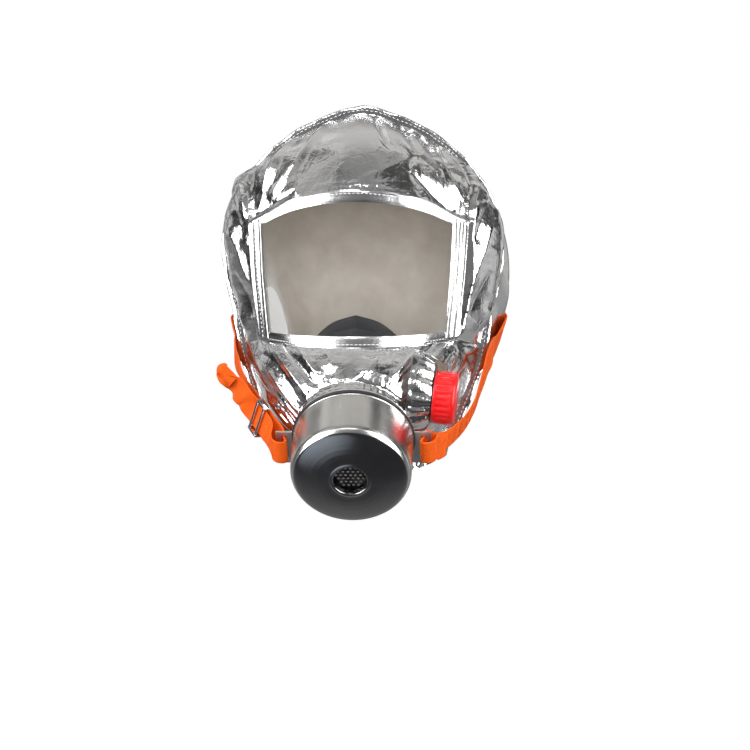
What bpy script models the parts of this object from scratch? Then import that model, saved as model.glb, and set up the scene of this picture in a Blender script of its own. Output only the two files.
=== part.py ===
"""Smoke hood: an aluminised film hood over a rubber half mask with a screw-on filter canister.

Metres, +Z up. The origin is the middle of the neck opening, the face looks along -Y and the
wearer's left side is +X. Lengths below are in millimetres and are scaled by MM where they are used.
"""

import math

import bmesh
import bpy
import numpy as np
from mathutils import Matrix, Vector
from mathutils.bvhtree import BVHTree

MM = 0.001

# Driving dimensions, millimetres
GAP = 0.3                       # clearance between pieces that touch on the real object
FILM = 1.0                      # film panel, as a solid
HEM = 2.0                       # folded hem or binding, as a solid
HEM_WIDTH = 7.0
BINDING_WIDTH = 10.5
SEAM_Y = -15.0                  # plane of the ear-to-ear seam
SEAM_WIDTH = 2.4
SEAM_HEIGHT = 6.0
SEAM_CLEAR = SEAM_WIDTH / 2 + FILM / 2 + GAP   # from the seam plane to the middle of a panel
NECK_BAND_HEIGHT = 13.0
STRAP_WIDTH = 20.0
STRAP_THICKNESS = 1.5
CANISTER_RADIUS = 43.0
CANISTER_LENGTH = 46.0
CANISTER_TILT = math.radians(39)
CANISTER_CENTRE = (0.0, -125.0, 8.0)      # centre of the canister's rear plane
INLET_RADIUS = 12.0
CONNECTOR_BORE = 20.5                     # radius, for a 40 mm round thread
CAP_CENTRE = (66.0, -110.0, 37.5)
CAP_AXIS = (0.99, -0.02, -0.11)
CAP_RADIUS = 19.0
ROUND_STEPS = 32

COLLECTION = bpy.data.collections.new("smoke_hood")
CUTTERS = bpy.data.collections.new("cutters")


def clear_scene():
    for item in list(bpy.data.objects):
        bpy.data.objects.remove(item, do_unlink=True)
    bpy.context.scene.collection.children.link(COLLECTION)
    bpy.context.scene.collection.children.link(CUTTERS)


def material(name, colour, roughness, metallic=0.0, alpha=1.0):
    made = bpy.data.materials.new(name)
    made.use_nodes = True
    shader = made.node_tree.nodes["Principled BSDF"]
    shader.inputs["Base Color"].default_value = (*colour, 1.0)
    shader.inputs["Roughness"].default_value = roughness
    shader.inputs["Metallic"].default_value = metallic
    shader.inputs["Alpha"].default_value = alpha
    return made


def make_object(name, mesh, finish, parent=None, collection=None):
    made = bpy.data.objects.new(name, mesh)
    (collection or COLLECTION).objects.link(made)
    if finish:
        made.data.materials.append(finish)
    if parent:
        made.parent = parent
    return made


def mesh_from(bm, name):
    bmesh.ops.recalc_face_normals(bm, faces=bm.faces)
    mesh = bpy.data.meshes.new(name)
    bm.to_mesh(mesh)
    bm.free()
    return mesh


def smooth(obj, angle=40):
    obj.data.shade_smooth()
    obj.data.set_sharp_from_angle(angle=math.radians(angle))


def frame_on(name, centre, axis, up=(0, 0, 1)):
    """An empty whose Z lies along axis, and whose Y leans towards up."""
    z = Vector(axis).normalized()
    x = Vector(up).cross(z).normalized()
    y = z.cross(x)
    empty = bpy.data.objects.new(name, None)
    COLLECTION.objects.link(empty)
    turn = Matrix((x, y, z)).transposed().to_4x4()
    empty.matrix_world = Matrix.Translation(Vector(centre) * MM) @ turn
    return empty


# Curves through a few points

def spline(points, by_point=False):
    """A smooth curve through the points: a function of 0..1, by length along the chords,
    or with by_point by the number of points passed."""
    p = np.array(points, float)
    at = np.concatenate([[0], np.cumsum(np.linalg.norm(np.diff(p, axis=0), axis=1))])
    at /= at[-1]
    slopes = np.gradient(p, at, axis=0)

    def curve(t):
        if by_point:
            t = np.interp(t, np.linspace(0, 1, len(at)), at)
        i = int(np.clip(np.searchsorted(at, t, side="right") - 1, 0, len(at) - 2))
        h = at[i + 1] - at[i]
        s = (t - at[i]) / h
        return (
            (2 * s**3 - 3 * s**2 + 1) * p[i]
            + (s**3 - 2 * s**2 + s) * h * slopes[i]
            + (3 * s**2 - 2 * s**3) * p[i + 1]
            + (s**3 - s**2) * h * slopes[i + 1]
        )

    return curve


def mirrored(curve):
    """The curve on the other side of the object."""
    return lambda t: curve(t) * (-1, 1, 1)


def part_of(curve, start, end):
    return lambda t: curve(start + (end - start) * t)


def coons(bottom, top, left, right, bulge=(0, 0, 0)):
    """The surface that four edge curves bound: u runs from left to right, v from bottom to top."""
    bulge = np.array(bulge, float)

    def surface(u, v):
        corners = (
            (1 - u) * (1 - v) * bottom(0) + u * (1 - v) * bottom(1)
            + (1 - u) * v * top(0) + u * v * top(1)
        )
        edges = (1 - v) * bottom(u) + v * top(u) + (1 - u) * left(v) + u * right(v)
        return edges - corners + bulge * 16 * u * (1 - u) * v * (1 - v)

    return surface


def surface_mesh(name, surface, columns, rows, u_range=(0, 1), v_range=(0, 1), joined=False):
    """A grid laid on a surface. joined welds its first column to its last."""
    bm = bmesh.new()
    bmesh.ops.create_grid(bm, x_segments=columns, y_segments=rows, size=0.5)
    for vert in bm.verts:
        u = u_range[0] + (u_range[1] - u_range[0]) * (vert.co.x + 0.5)
        v = v_range[0] + (v_range[1] - v_range[0]) * (vert.co.y + 0.5)
        vert.co = Vector(surface(u, v)) * MM
    if joined:
        bmesh.ops.remove_doubles(bm, verts=bm.verts, dist=1e-5)
    mesh = bpy.data.meshes.new(name)
    bm.to_mesh(mesh)
    bm.free()
    return mesh


def film_panel(name, mesh, thickness, finish, offset=0.0):
    """A sheet with its thickness: offset 0 is centred, -1 is all on the inner side."""
    panel = make_object(name, mesh, finish)
    solidify = panel.modifiers.new("thickness", "SOLIDIFY")
    solidify.thickness = thickness * MM
    solidify.offset = offset
    smooth(panel)
    return panel


def trimmed(length, gap=GAP + 0.1):
    """The 0..1 range that leaves a gap at both ends of a side of this length."""
    return gap / length, 1 - gap / length


# Turned pieces

def turned(name, profile, finish, parent, steps=ROUND_STEPS):
    """A profile of (radius, height) in mm, down the outer side and up the inner, turned about Z.
    One that starts and ends on the axis is closed by the turn."""
    mesh = bpy.data.meshes.new(name)
    count = len(profile)
    edges = [(i, (i + 1) % count) for i in range(count)]
    if profile[0][0] == 0 and profile[-1][0] == 0:
        edges.pop()
    mesh.from_pydata([(r * MM, 0, z * MM) for r, z in profile], edges, [])
    made = make_object(name, mesh, finish, parent)
    screw = made.modifiers.new("turn", "SCREW")
    screw.steps = screw.render_steps = steps
    screw.merge_threshold = 1e-5
    screw.use_merge_vertices = True
    screw.use_normal_calculate = False
    return made


def ring_profile(inner, outer, low, high):
    return [(outer, high), (outer, low), (inner, low), (inner, high)]


def disc(name, radius, low, high, finish, parent, steps=ROUND_STEPS):
    bm = bmesh.new()
    place = Matrix.Translation((0, 0, (low + high) / 2 * MM))
    bmesh.ops.create_cone(
        bm, cap_ends=True, segments=steps, radius1=radius * MM, radius2=radius * MM,
        depth=(high - low) * MM, matrix=place,
    )
    return make_object(name, mesh_from(bm, name), finish, parent)


def cutter(name, radius, low, high, parent, at=(0, 0), steps=24, shape=None):
    """A round cutter along Z; shape(angle) scales the radius, angle 0 pointing along +Y."""
    bm = bmesh.new()
    place = Matrix.Translation((at[0] * MM, at[1] * MM, (low + high) / 2 * MM))
    bmesh.ops.create_cone(
        bm, cap_ends=True, segments=steps, radius1=radius * MM, radius2=radius * MM,
        depth=(high - low) * MM, matrix=place,
    )
    if shape:
        for vert in bm.verts:
            vert.co.xy *= shape(math.atan2(vert.co.x, vert.co.y))
    made = make_object(name, mesh_from(bm, name), None, parent, CUTTERS)
    made.hide_render = True
    made.display_type = "WIRE"
    return made


def cut(obj, tool, solver="EXACT"):
    boolean = obj.modifiers.new(tool.name, "BOOLEAN")
    boolean.operation = "DIFFERENCE"
    boolean.solver = solver
    boolean.object = tool


def unite(obj, tool):
    tool.hide_render = True
    tool.display_type = "WIRE"
    boolean = obj.modifiers.new(tool.name, "BOOLEAN")
    boolean.operation = "UNION"
    boolean.object = tool


# The hood's guide curves. Those of one side are for the wearer's left (+X).

def half_width(z):
    """How far the ear-to-ear seam stands from the middle plane at height z."""
    heights = [8, 30, 50, 72, 96, 118, 145, 163, 181, 197, 210, 221, 232, 240, 244, 246]
    widths = [63, 71, 79, 85.5, 89, 93.5, 98.5, 97.5, 91, 81.5, 70, 57.5, 41, 22, 11.5, 0]
    return float(np.interp(z, heights, widths))


def seam_curve():
    """The ear-to-ear seam on one side, from the neck to the crown."""
    heights = [8, 30, 50, 72, 96, 118, 140, 160, 178, 194, 208, 221, 232, 240, 244]
    points = [(half_width(z), SEAM_Y, z) for z in heights] + [(0, SEAM_Y, 246)]
    return spline(points)


SEAM = seam_curve()
SEAM_AT_SIDE = 0.245             # where the side panel's lower edge meets the seam
SEAM_AT_BROW = 0.79              # where the brow panel's side edge meets the seam

FRAME_TOP = spline([(-79, -73, 164), (-45, -93, 179.5), (0, -103, 185.5), (45, -93, 179.5), (79, -73, 164)])
FRAME_BOTTOM = spline([(-71, -74, 80), (-40, -104, 75), (0, -117, 73.5), (40, -104, 75), (71, -74, 80)])
FRAME_SIDE = spline([(71, -74, 80), (76, -75.5, 122), (79, -73, 164)])
BROW_SIDE = spline([(79, -73, 164), (78, -56, 194), (*SEAM(SEAM_AT_BROW),)])
SIDE_BOTTOM = spline([(71, -74, 80), (82, -48, 77), (*SEAM(SEAM_AT_SIDE),)])
HEM_FRONT = spline([(63, SEAM_Y, 8), (42, -44, -1), (0, -57, -7), (-42, -44, -1), (-63, SEAM_Y, 8)])
HEM_REAR = spline([(63, SEAM_Y, 8), (52, 30, 17), (0, 74, 26), (-52, 30, 17), (-63, SEAM_Y, 8)])


def window_surface():
    """The front opening with its hems and bindings: u from the wearer's right to left, v upwards."""
    return coons(FRAME_BOTTOM, FRAME_TOP, mirrored(FRAME_SIDE), FRAME_SIDE)


def crown_front(t):
    """The seam over the crown, between the two ends of the brow panel."""
    side = abs(2 * t - 1)
    point = SEAM(1 - (1 - SEAM_AT_BROW) * side)
    return point * (1 if t > 0.5 else -1, 1, 1)


def in_front_of_seam(surface, depth):
    """The surface, kept clear of the seam's plane."""
    def shifted(u, v):
        point = surface(u, v)
        point[1] = min(point[1], SEAM_Y - depth)
        return point
    return shifted


def build_window(film, clear):
    window = window_surface()
    side = BINDING_WIDTH / 150
    low = HEM_WIDTH / 100
    near, far = trimmed(100)
    u0, u1 = side + 0.4 / 150, 1 - side - 0.4 / 150
    parts = {
        "visor_left_binding": (2, 9, (1 - side, 1 - 0.4 / 150), (near, far)),
        "visor_right_binding": (2, 9, (0.4 / 150, side), (near, far)),
        "visor_bottom_hem": (15, 2, (u0, u1), (near, low)),
        "visor_top_hem": (15, 2, (u0, u1), (1 - low, far)),
    }
    for name, (columns, rows, us, vs) in parts.items():
        film_panel(name, surface_mesh(name, window, columns, rows, us, vs), HEM, film)
    mesh = surface_mesh(
        "visor_window", window, 15, 9, (side - 0.03, 1 - side + 0.03), (low - 0.04, 1 - low + 0.04)
    )
    visor = film_panel("visor_window", mesh, 1.0, clear, offset=0.0)
    inward = visor.modifiers.new("behind the hems", "DISPLACE")
    inward.strength = -(HEM / 2 + GAP + 0.7) * MM
    inward.mid_level = 0
    visor.modifiers.move(1, 0)


def build_front_panels(film):
    brow = coons(FRAME_TOP, crown_front, mirrored(BROW_SIDE), BROW_SIDE, bulge=(0, -2, 5))
    brow = in_front_of_seam(brow, SEAM_CLEAR)
    mesh = surface_mesh("brow_panel", brow, 15, 9, trimmed(140), (0.005, 1))
    film_panel("brow_panel", mesh, FILM, film)

    def inner(t):
        bend = 0.47
        return FRAME_SIDE(t / bend) if t < bend else BROW_SIDE((t - bend) / (1 - bend))

    outer = part_of(SEAM, SEAM_AT_SIDE, SEAM_AT_BROW - 0.02)
    top_edge = spline([inner(1), outer(1)])
    side = coons(SIDE_BOTTOM, top_edge, inner, outer, bulge=(7, -3, 2))
    side = in_front_of_seam(side, SEAM_CLEAR)
    for name, mirror in (("left_side_panel", 1), ("right_side_panel", -1)):
        def surface(u, v, mirror=mirror):
            return side(u if mirror > 0 else 1 - u, v) * (mirror, 1, 1)
        us = (0.008, 1) if mirror > 0 else (0, 0.992)
        film_panel(name, surface_mesh(name, surface, 7, 15, us, trimmed(165)), FILM, film)


def build_rear_panel(film):
    def seam_around(t):
        point = SEAM(1 - abs(2 * t - 1))
        return point * (1 if t < 0.5 else -1, 1, 1)

    def surface(u, v):
        """From the seam, v 0, round the back of the head to the hem, v 1."""
        start, end = seam_around(u), HEM_REAR(u)
        middle = math.sin(math.pi * u)
        out = start + (end - start) * v
        swell = math.sin(math.pi * v) ** 0.8
        out[1] += swell * (22 + 66 * middle**1.2)
        out[2] += swell * (4 * (1 - middle) + 38 * middle**3 * (1 - v) + 12 * middle)
        above_hem = min(1, min(u, 1 - u) / 0.22)
        out[0] *= 1 + swell * above_hem * (0.25 + 0.15 * (1 - middle))
        out[1] = max(out[1], SEAM_Y + SEAM_CLEAR)
        return out

    mesh = surface_mesh("rear_panel", surface, 27, 14, (0.004, 0.996), (0, 1))
    return film_panel("rear_panel", mesh, FILM, film)


def build_crown_seam(film):
    """The seam allowance: a narrow strip standing out from the surface along the seam."""
    def whole(t):
        point = SEAM(1 - abs(2 * t - 1))
        return point * (1 if t < 0.5 else -1, 1, 1)

    def surface(u, v):
        ahead, behind = whole(min(u + 0.01, 1)), whole(max(u - 0.01, 0))
        along = (ahead - behind) / np.linalg.norm(ahead - behind)
        out = np.cross((0, 1, 0), along)
        out *= -1 if out @ (whole(u) - (0, SEAM_Y, 120)) < 0 else 1
        return whole(u) + out * (v * SEAM_HEIGHT - 0.5)

    mesh = surface_mesh("crown_seam", surface, 45, 2, (0.004, 0.996))
    film_panel("crown_seam", mesh, SEAM_WIDTH, film)


# The lower face panel, the neck and the half mask

def canister_point(angle, radius, height):
    """A point round the canister's axis: angle 0 is up, 90 degrees is +X; height runs forwards."""
    forward = np.array([0, -math.cos(CANISTER_TILT), -math.sin(CANISTER_TILT)])
    up = np.array([0, -math.sin(CANISTER_TILT), math.cos(CANISTER_TILT)])
    side = np.array([1.0, 0, 0])
    around = side * math.sin(angle) + up * math.cos(angle)
    return np.array(CANISTER_CENTRE) + forward * height + around * radius


def rib(start, control, end):
    """A quadratic curve from start to end, pulled towards control."""
    return lambda v: (1 - v) ** 2 * start + 2 * v * (1 - v) * control + v * v * end


def mirrored_round(one_side):
    """one_side is given for t 0 to 0.5; the rest of the way round mirrors it."""
    return lambda t: one_side(t) if t <= 0.5 else one_side(1 - t) * (-1, 1, 1)


def lower_outline(t):
    """The lower face panel's outer edge on the +X side: hem, side panel, seam, neck."""
    if t < 0.12:
        return FRAME_BOTTOM(0.5 + 0.5 * t / 0.12)
    if t < 0.22:
        return SIDE_BOTTOM((t - 0.12) / 0.10)
    if t < 0.36:
        return SEAM(SEAM_AT_SIDE * (0.36 - t) / 0.14)
    return HEM_FRONT(0.5 * (t - 0.36) / 0.14)


def build_lower_face_panel(film, valve_frame):
    turns = ([0, 0.12, 0.22, 0.36, 0.5], [0, 60, 95, 135, 180])
    pull_at = [0, 0.12, 0.22, 0.3, 0.36, 0.5]
    pull = np.array([(0, -3, 3), (4, -12, 4), (6, -46, 0), (8, -44, -8), (6, -30, -14), (0, -4, -12)])

    def one_side(t, v):
        start = canister_point(math.radians(np.interp(t, *turns)), 40.5, -14.5)
        end = lower_outline(t)
        offset = np.array([np.interp(t, pull_at, pull[:, axis]) for axis in range(3)])
        point = rib(start, (start + end) / 2 + offset, end)(v)
        point[1] = min(point[1], SEAM_Y - SEAM_CLEAR)
        return point

    def surface(u, v):
        return mirrored_round(lambda t: one_side(t, v))(u)

    mesh = surface_mesh("lower_face_panel", surface, 51, 8, (0, 1), (0, 0.993), joined=True)
    panel = film_panel("lower_face_panel", mesh, FILM, film)

    def tent(angle):
        return 1 + 0.42 * max(0, math.cos(angle)) ** 6 - 0.05 * math.cos(angle)

    cut(panel, cutter("valve_opening", 23, -17, 34, valve_frame, shape=tent))
    cut(panel, cutter("valve_tube_opening", 15, -30, 0, valve_frame))


def hem_loop(t):
    return HEM_FRONT(2 * t) if t < 0.5 else HEM_REAR(2 - 2 * t)


def build_neck(film, rubber):
    def band(u, v):
        hem = hem_loop(u)
        return hem * (1 - 0.03 * v, 1 - 0.03 * v, 1) - (0, 0, 1.0 + v * NECK_BAND_HEIGHT)

    mesh = surface_mesh("neck_band", band, 41, 3, joined=True)
    film_panel("neck_band", mesh, FILM, film)

    curve = bpy.data.curves.new("neck_elastic", "CURVE")
    curve.dimensions = "3D"
    curve.bevel_depth = 1.5 * MM
    curve.bevel_resolution = 1
    line = curve.splines.new("POLY")
    count = 40
    line.points.add(count - 1)
    for i in range(count):
        point = band(i / count, 0.6)
        inward = -Vector((point[0], point[1] - 5, 0)).normalized() * 3.9
        line.points[i].co = (*((Vector(point) + inward) * MM), 1)
    line.use_cyclic_u = True
    make_object("neck_elastic", curve, rubber)


def build_half_mask(rubber, valve_frame):
    """The rubber cup over nose and mouth, from the connector's hole out to the face seal."""
    seal = spline([
        (0, -97, 96), (16, -92, 91), (30, -82, 79), (43, -71, 55), (47, -65, 32), (37, -61, 13), (0, -66, 5),
    ])
    turns = ([0, 0.5], [0, 180])
    pull_at = [0, 0.15, 0.28, 0.4, 0.5]
    pull = np.array([(0, -10, 6), (8, -14, 4), (20, -24, 0), (10, -14, -6), (0, -6, -6)])

    def one_side(t, v):
        start = canister_point(math.radians(np.interp(t, *turns)), 25.1, -21.4)
        end = seal(2 * t)
        offset = np.array([np.interp(t, pull_at, pull[:, axis]) for axis in range(3)])
        return rib(start, (start + end) / 2 + offset, end)(v)

    def surface(u, v):
        return mirrored_round(lambda t: one_side(t, v))(u)

    mesh = surface_mesh("half_mask", surface, 37, 8, joined=True)
    mask = film_panel("half_mask", mesh, 2.4, rubber)
    cut(mask, cutter("mask_valve_hole", 14.4, -34, 0, valve_frame))


# The stack behind the canister, and the canister. Heights run forwards from its rear plane.

def build_mask_fittings(frame, plastic, film, steel, rubber):
    turned("mask_connector", [
        (24, -0.6), (24, -27.5), (27.5, -27.5), (27.5, -29.5), (CONNECTOR_BORE, -29.5), (CONNECTOR_BORE, -0.6),
    ], plastic, frame)
    turned("clamp_ring", [
        (41.5, -5.1), (41.5, -13.9), (39, -13.9), (39, -8), (28, -8), (28, -18.7), (24.3, -18.7), (24.3, -5.1),
    ], film, frame)
    turned("connector_nut", ring_profile(24.3, 32, -3.0, -0.6), plastic, frame, steps=32)
    build_strap_ring(frame, steel)
    seat = disc("inhalation_valve_seat", 20.2, -22.0, -20.4, plastic, frame)
    for i in range(4):
        angle = math.radians(45 + 90 * i)
        at = (10.5 * math.cos(angle), 10.5 * math.sin(angle))
        cut(seat, cutter(f"seat_hole_{i}", 5.2, -24, -18, frame, at, steps=12))
    disc("inhalation_valve_disc", 17, -23.3, -22.3, rubber, frame, steps=32)


EAR_X = 50.0
EAR_DROP = -10.0
EAR_SLOT = (3.6, 22.0)


def box(name, size, centre, finish, parent, collection=None):
    bm = bmesh.new()
    bmesh.ops.create_cube(bm, size=1)
    for vert in bm.verts:
        vert.co = Vector((vert.co.x * size[0], vert.co.y * size[1], vert.co.z * size[2]))
        vert.co = (vert.co + Vector(centre)) * MM
    return make_object(name, mesh_from(bm, name), finish, parent, collection)


def build_strap_ring(frame, steel):
    """A flat ring round the connector with a slotted ear on each side for the strap."""
    low, high = -4.8, -3.3
    middle = (low + high) / 2
    plate = turned("strap_ring", ring_profile(24.3, 43, low, high), steel, frame)
    for side in (-1, 1):
        ear = box(f"ear_{side}", (16, 28, high - low), (side * (EAR_X - 2.5), EAR_DROP, middle),
                  None, frame, CUTTERS)
        unite(plate, ear)
        slot = box(f"slot_{side}", (*EAR_SLOT, 8), (side * EAR_X, EAR_DROP, middle), None, frame, CUTTERS)
        slot.hide_render = True
        slot.display_type = "WIRE"
        cut(plate, slot)


def build_canister(frame, finishes):
    steel, plastic, paper, mesh_steel, charcoal, salt = finishes
    r = CANISTER_RADIUS
    lip = INLET_RADIUS
    turned("canister_shell", [
        (lip, 41.2), (lip, 45.2), (lip + 1, CANISTER_LENGTH), (lip + 3.2, CANISTER_LENGTH), (24, 45.2),
        (32, 43.6), (37.5, 41.6), (40.6, 40.6), (42.4, 38.8), (r, 36.5), (r, 0), (r - 1, 0), (r - 1, 36.3),
        (41.2, 38), (39.8, 39.4), (37, 40.4), (31.7, 42.4), (23.8, 44), (lip + 3, 44.8), (lip + 1.2, 44.4),
        (lip + 1.2, 41.2),
    ], steel, frame, steps=36)
    turned("canister_rear_cover", [
        (r - 1.3, 2), (r - 1.3, 0.2), (CONNECTOR_BORE - 0.3, 0.2), (CONNECTOR_BORE - 0.3, -11),
        (17, -11), (17, 2),
    ], plastic, frame)
    build_inlet_screen(frame, mesh_steel)
    layers = [
        ("dust_filter", 27.2, 36.0, paper), ("filter_mesh", 25.6, 26.8, mesh_steel),
        ("desiccant_bed", 19.2, 25.2, salt), ("catalyst_bed", 8.6, 18.8, charcoal),
        ("rear_screen", 7.0, 8.2, mesh_steel),
    ]
    for name, low, high, finish in layers:
        disc(name, r - 1.4, low, high, finish, frame, steps=32)
    build_spring(frame, steel)


def build_inlet_screen(frame, steel):
    """The perforated plate behind the inlet: a hexagonal pattern of 19 holes."""
    screen = disc("inlet_screen", 18, 38.4, 39.6, steel, frame, steps=24)
    pitch = 4.4
    for row in range(-2, 3):
        for i in range(5 - abs(row)):
            at = ((i - (4 - abs(row)) / 2) * pitch, row * pitch * math.sqrt(3) / 2)
            cut(screen, cutter(f"screen_hole_{row + 2}_{i}", 1.5, 37, 41, frame, at, steps=6))


def build_spring(frame, steel):
    """A flat coil behind the rear screen that keeps the beds pressed together."""
    curve = bpy.data.curves.new("bed_spring", "CURVE")
    curve.dimensions = "3D"
    curve.bevel_depth = 0.9 * MM
    curve.bevel_resolution = 1
    curve.use_fill_caps = True
    line = curve.splines.new("POLY")
    turns, steps = 1.6, 34
    line.points.add(steps)
    for i in range(steps + 1):
        t = i / steps
        angle = 2 * math.pi * turns * t
        radius = 34 - 8 * t
        height = 3.4 + 2.2 * t
        line.points[i].co = (radius * math.cos(angle) * MM, radius * math.sin(angle) * MM, height * MM, 1)
    make_object("bed_spring", curve, steel, frame)


def build_gasket(frame, rubber):
    turned("canister_gasket", ring_profile(36, 43.6, -3.0, -0.3), rubber, frame)


def build_exhalation_valve(frame, plastic, rubber, red):
    seat = turned("exhalation_valve_seat", [
        (1.5, -6), (14, -6), (14, -8), (17.1, -8), (17.1, -10), (14, -10), (14, -27), (11.5, -27),
        (11.5, -8.2), (1.5, -8.2),
    ], plastic, frame, steps=32)
    for i in range(5):
        angle = 2 * math.pi * i / 5
        at = (7 * math.cos(angle), 7 * math.sin(angle))
        cut(seat, cutter(f"outlet_hole_{i}", 2.7, -12, -4, frame, at, steps=10), "MANIFOLD")
    for i in range(6):
        angle = 2 * math.pi * (i + 0.5) / 6
        at = (17.1 * math.cos(angle), 17.1 * math.sin(angle))
        cut(seat, cutter(f"flange_notch_{i}", 2.7, -13, -7.2, frame, at, steps=8), "MANIFOLD")
    disc("exhalation_valve_disc", 13, -5.6, -4.6, rubber, frame, steps=32)
    r = CAP_RADIUS
    turned("exhalation_valve_cap", [
        (0, 7), (r - 2.5, 7), (r - 0.6, 6), (r, 4.5), (r, -9.5), (r - 1.5, -9.5), (r - 1.5, 4.8), (0, 5.2),
    ], red, frame, steps=36)


# The strap

def ear_point(side, out, height):
    """A point by the ear's slot: out is the distance from the middle plane, height runs forwards."""
    forward = np.array([0, -math.cos(CANISTER_TILT), -math.sin(CANISTER_TILT)])
    up = np.array([0, -math.sin(CANISTER_TILT), math.cos(CANISTER_TILT)])
    return np.array(CANISTER_CENTRE) + forward * height + up * EAR_DROP + np.array([side * out, 0, 0])


SLOT_WIDTH_DIRECTION = (0, -math.sin(CANISTER_TILT), math.cos(CANISTER_TILT))
BUCKLE_START = np.array([-60.0, -103.0, 15.0])      # the inner layer's straight stretch
BUCKLE_END = np.array([-73.0, -84.0, 31.0])
LAYER_STEP = 3.7                                    # between the two layers in the buckle


def buckle_axes():
    """The strap's direction, width direction and outward normal in the buckle."""
    along = (BUCKLE_END - BUCKLE_START) / np.linalg.norm(BUCKLE_END - BUCKLE_START)
    width = np.array([0, 0, 1.0]) - along[2] * along
    width /= np.linalg.norm(width)
    return along, width, np.cross(width, along)


def ear_fold(side):
    """The strap's route through the ear's slot and back over its outer bar, inner side first."""
    steps = [(50, -9), (50, -4), (50.6, -1.4), (53.7, 0.3), (57.6, -1.4), (59.2, -6)]
    return [(*ear_point(side, out, height), *SLOT_WIDTH_DIRECTION) for out, height in steps]


def round_the_head(rear_panel):
    """The strap's route on the rear panel, from the wearer's left ear to the right one."""
    tree = BVHTree.FromObject(rear_panel, bpy.context.evaluated_depsgraph_get())
    route = []
    for i in range(-9, 10):
        turn = math.radians(i * 9.2)
        height = 112 - 36 * (abs(i) / 9) ** 2
        direction = Vector((-math.sin(turn), math.cos(turn), 0))
        far = Vector((0, 15, height)) * MM + direction * 0.3
        hit, normal, _, _ = tree.ray_cast(far, -direction)
        along = Vector((-math.cos(turn), -math.sin(turn), 0.0))
        width = along.cross(normal).normalized()
        width *= -1 if width.z < 0 else 1
        point = hit / MM + normal * (STRAP_THICKNESS / 2 + 1.6)
        route.append((*point, *width))
    return route


def strap_route(rear_panel):
    """The strap's middle line and width direction, from the sewn end on the wearer's left to the tail."""
    along, width, out = buckle_axes()
    sewn_end = [(65.2, -100.6, 4.6, 0.05, -0.55, 0.83), (61.6, -107.2, 2.6, 0.05, -0.6, 0.8)]
    left_side = [
        (57.6, -105.4, 3.5, 0.05, -0.6, 0.8), (67, -96, 9, 0.1, -0.7, 0.7), (77, -84, 19, 0.05, -0.85, 0.5),
        (83.5, -71, 31, 0, -0.95, 0.3), (87, -56, 43, 0, -0.97, 0.25), (89.5, -42, 53, 0, -0.9, 0.4),
        (91.5, -28, 62, 0, -0.65, 0.75), (94, -14, 69, 0, -0.35, 0.95),
    ]
    right_side = [
        (-94.2, -14, 71, 0, -0.3, 0.95), (-92, -28, 66, 0, -0.45, 0.9), (-88.5, -42, 60, 0, -0.6, 0.8),
        (-85, -56, 51, 0, -0.7, 0.7), (-79.5, -70, 41, 0.1, -0.65, 0.75),
    ] + [(*(BUCKLE_END - along * step), *width) for step in (0, 5, 10, 15, 20, 25)]
    outer = [(*(BUCKLE_START + out * LAYER_STEP + along * step), *width) for step in (0, 5, 10, 15, 20, 25)]
    tail = [
        (-82, -89, 39, 0.4, -0.65, 0.65), (-87, -88, 45, 0.45, -0.75, 0.45), (-91.5, -86, 51, 0.45, -0.75, 0.45),
        (-95.5, -84, 57, 0.45, -0.75, 0.45),
    ]
    return (
        sewn_end + ear_fold(1)[::-1] + left_side + round_the_head(rear_panel) + right_side
        + ear_fold(-1) + outer + tail
    )


def build_strap(webbing, rear_panel):
    line = spline(strap_route(rear_panel), by_point=True)

    def ribbon(u, v):
        place = line(u)
        ahead, behind = line(min(u + 0.002, 1))[:3], line(max(u - 0.002, 0))[:3]
        along = (ahead - behind) / np.linalg.norm(ahead - behind)
        width = place[3:] - along * (place[3:] @ along)
        width /= np.linalg.norm(width)
        return place[:3] + width * (v - 0.5) * STRAP_WIDTH

    mesh = surface_mesh("head_strap", ribbon, 161, 2)
    film_panel("head_strap", mesh, STRAP_THICKNESS, webbing)


def build_buckle(steel):
    """A flat slide: two side bars, a bar between the strap's layers and two bars outside them."""
    along, width, out = buckle_axes()
    middle = (BUCKLE_START + BUCKLE_END) / 2 + out * LAYER_STEP / 2
    frame = bpy.data.objects.new("buckle_axis", None)
    COLLECTION.objects.link(frame)
    turn = Matrix((width, along, -out)).transposed().to_4x4()
    if turn.determinant() < 0:
        turn = Matrix((-Vector(width), along, -out)).transposed().to_4x4()
    frame.matrix_world = Matrix.Translation(Vector(middle) * MM) @ turn
    half = STRAP_WIDTH / 2
    buckle = box("strap_buckle", (2 * half + 5, 2.2, 1.2), (0, 0, 0), steel, frame)
    for side in (-1, 1):
        post = box(f"buckle_side_{side}", (1.8, 13, 5.6), (side * (half + 1.6), 0, -2.0), None, frame, CUTTERS)
        unite(buckle, post)
        bar = box(f"buckle_bar_{side}", (2 * half + 4, 1.8, 1.2), (0, side * 5.2, -4.0), None, frame, CUTTERS)
        unite(buckle, bar)


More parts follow.
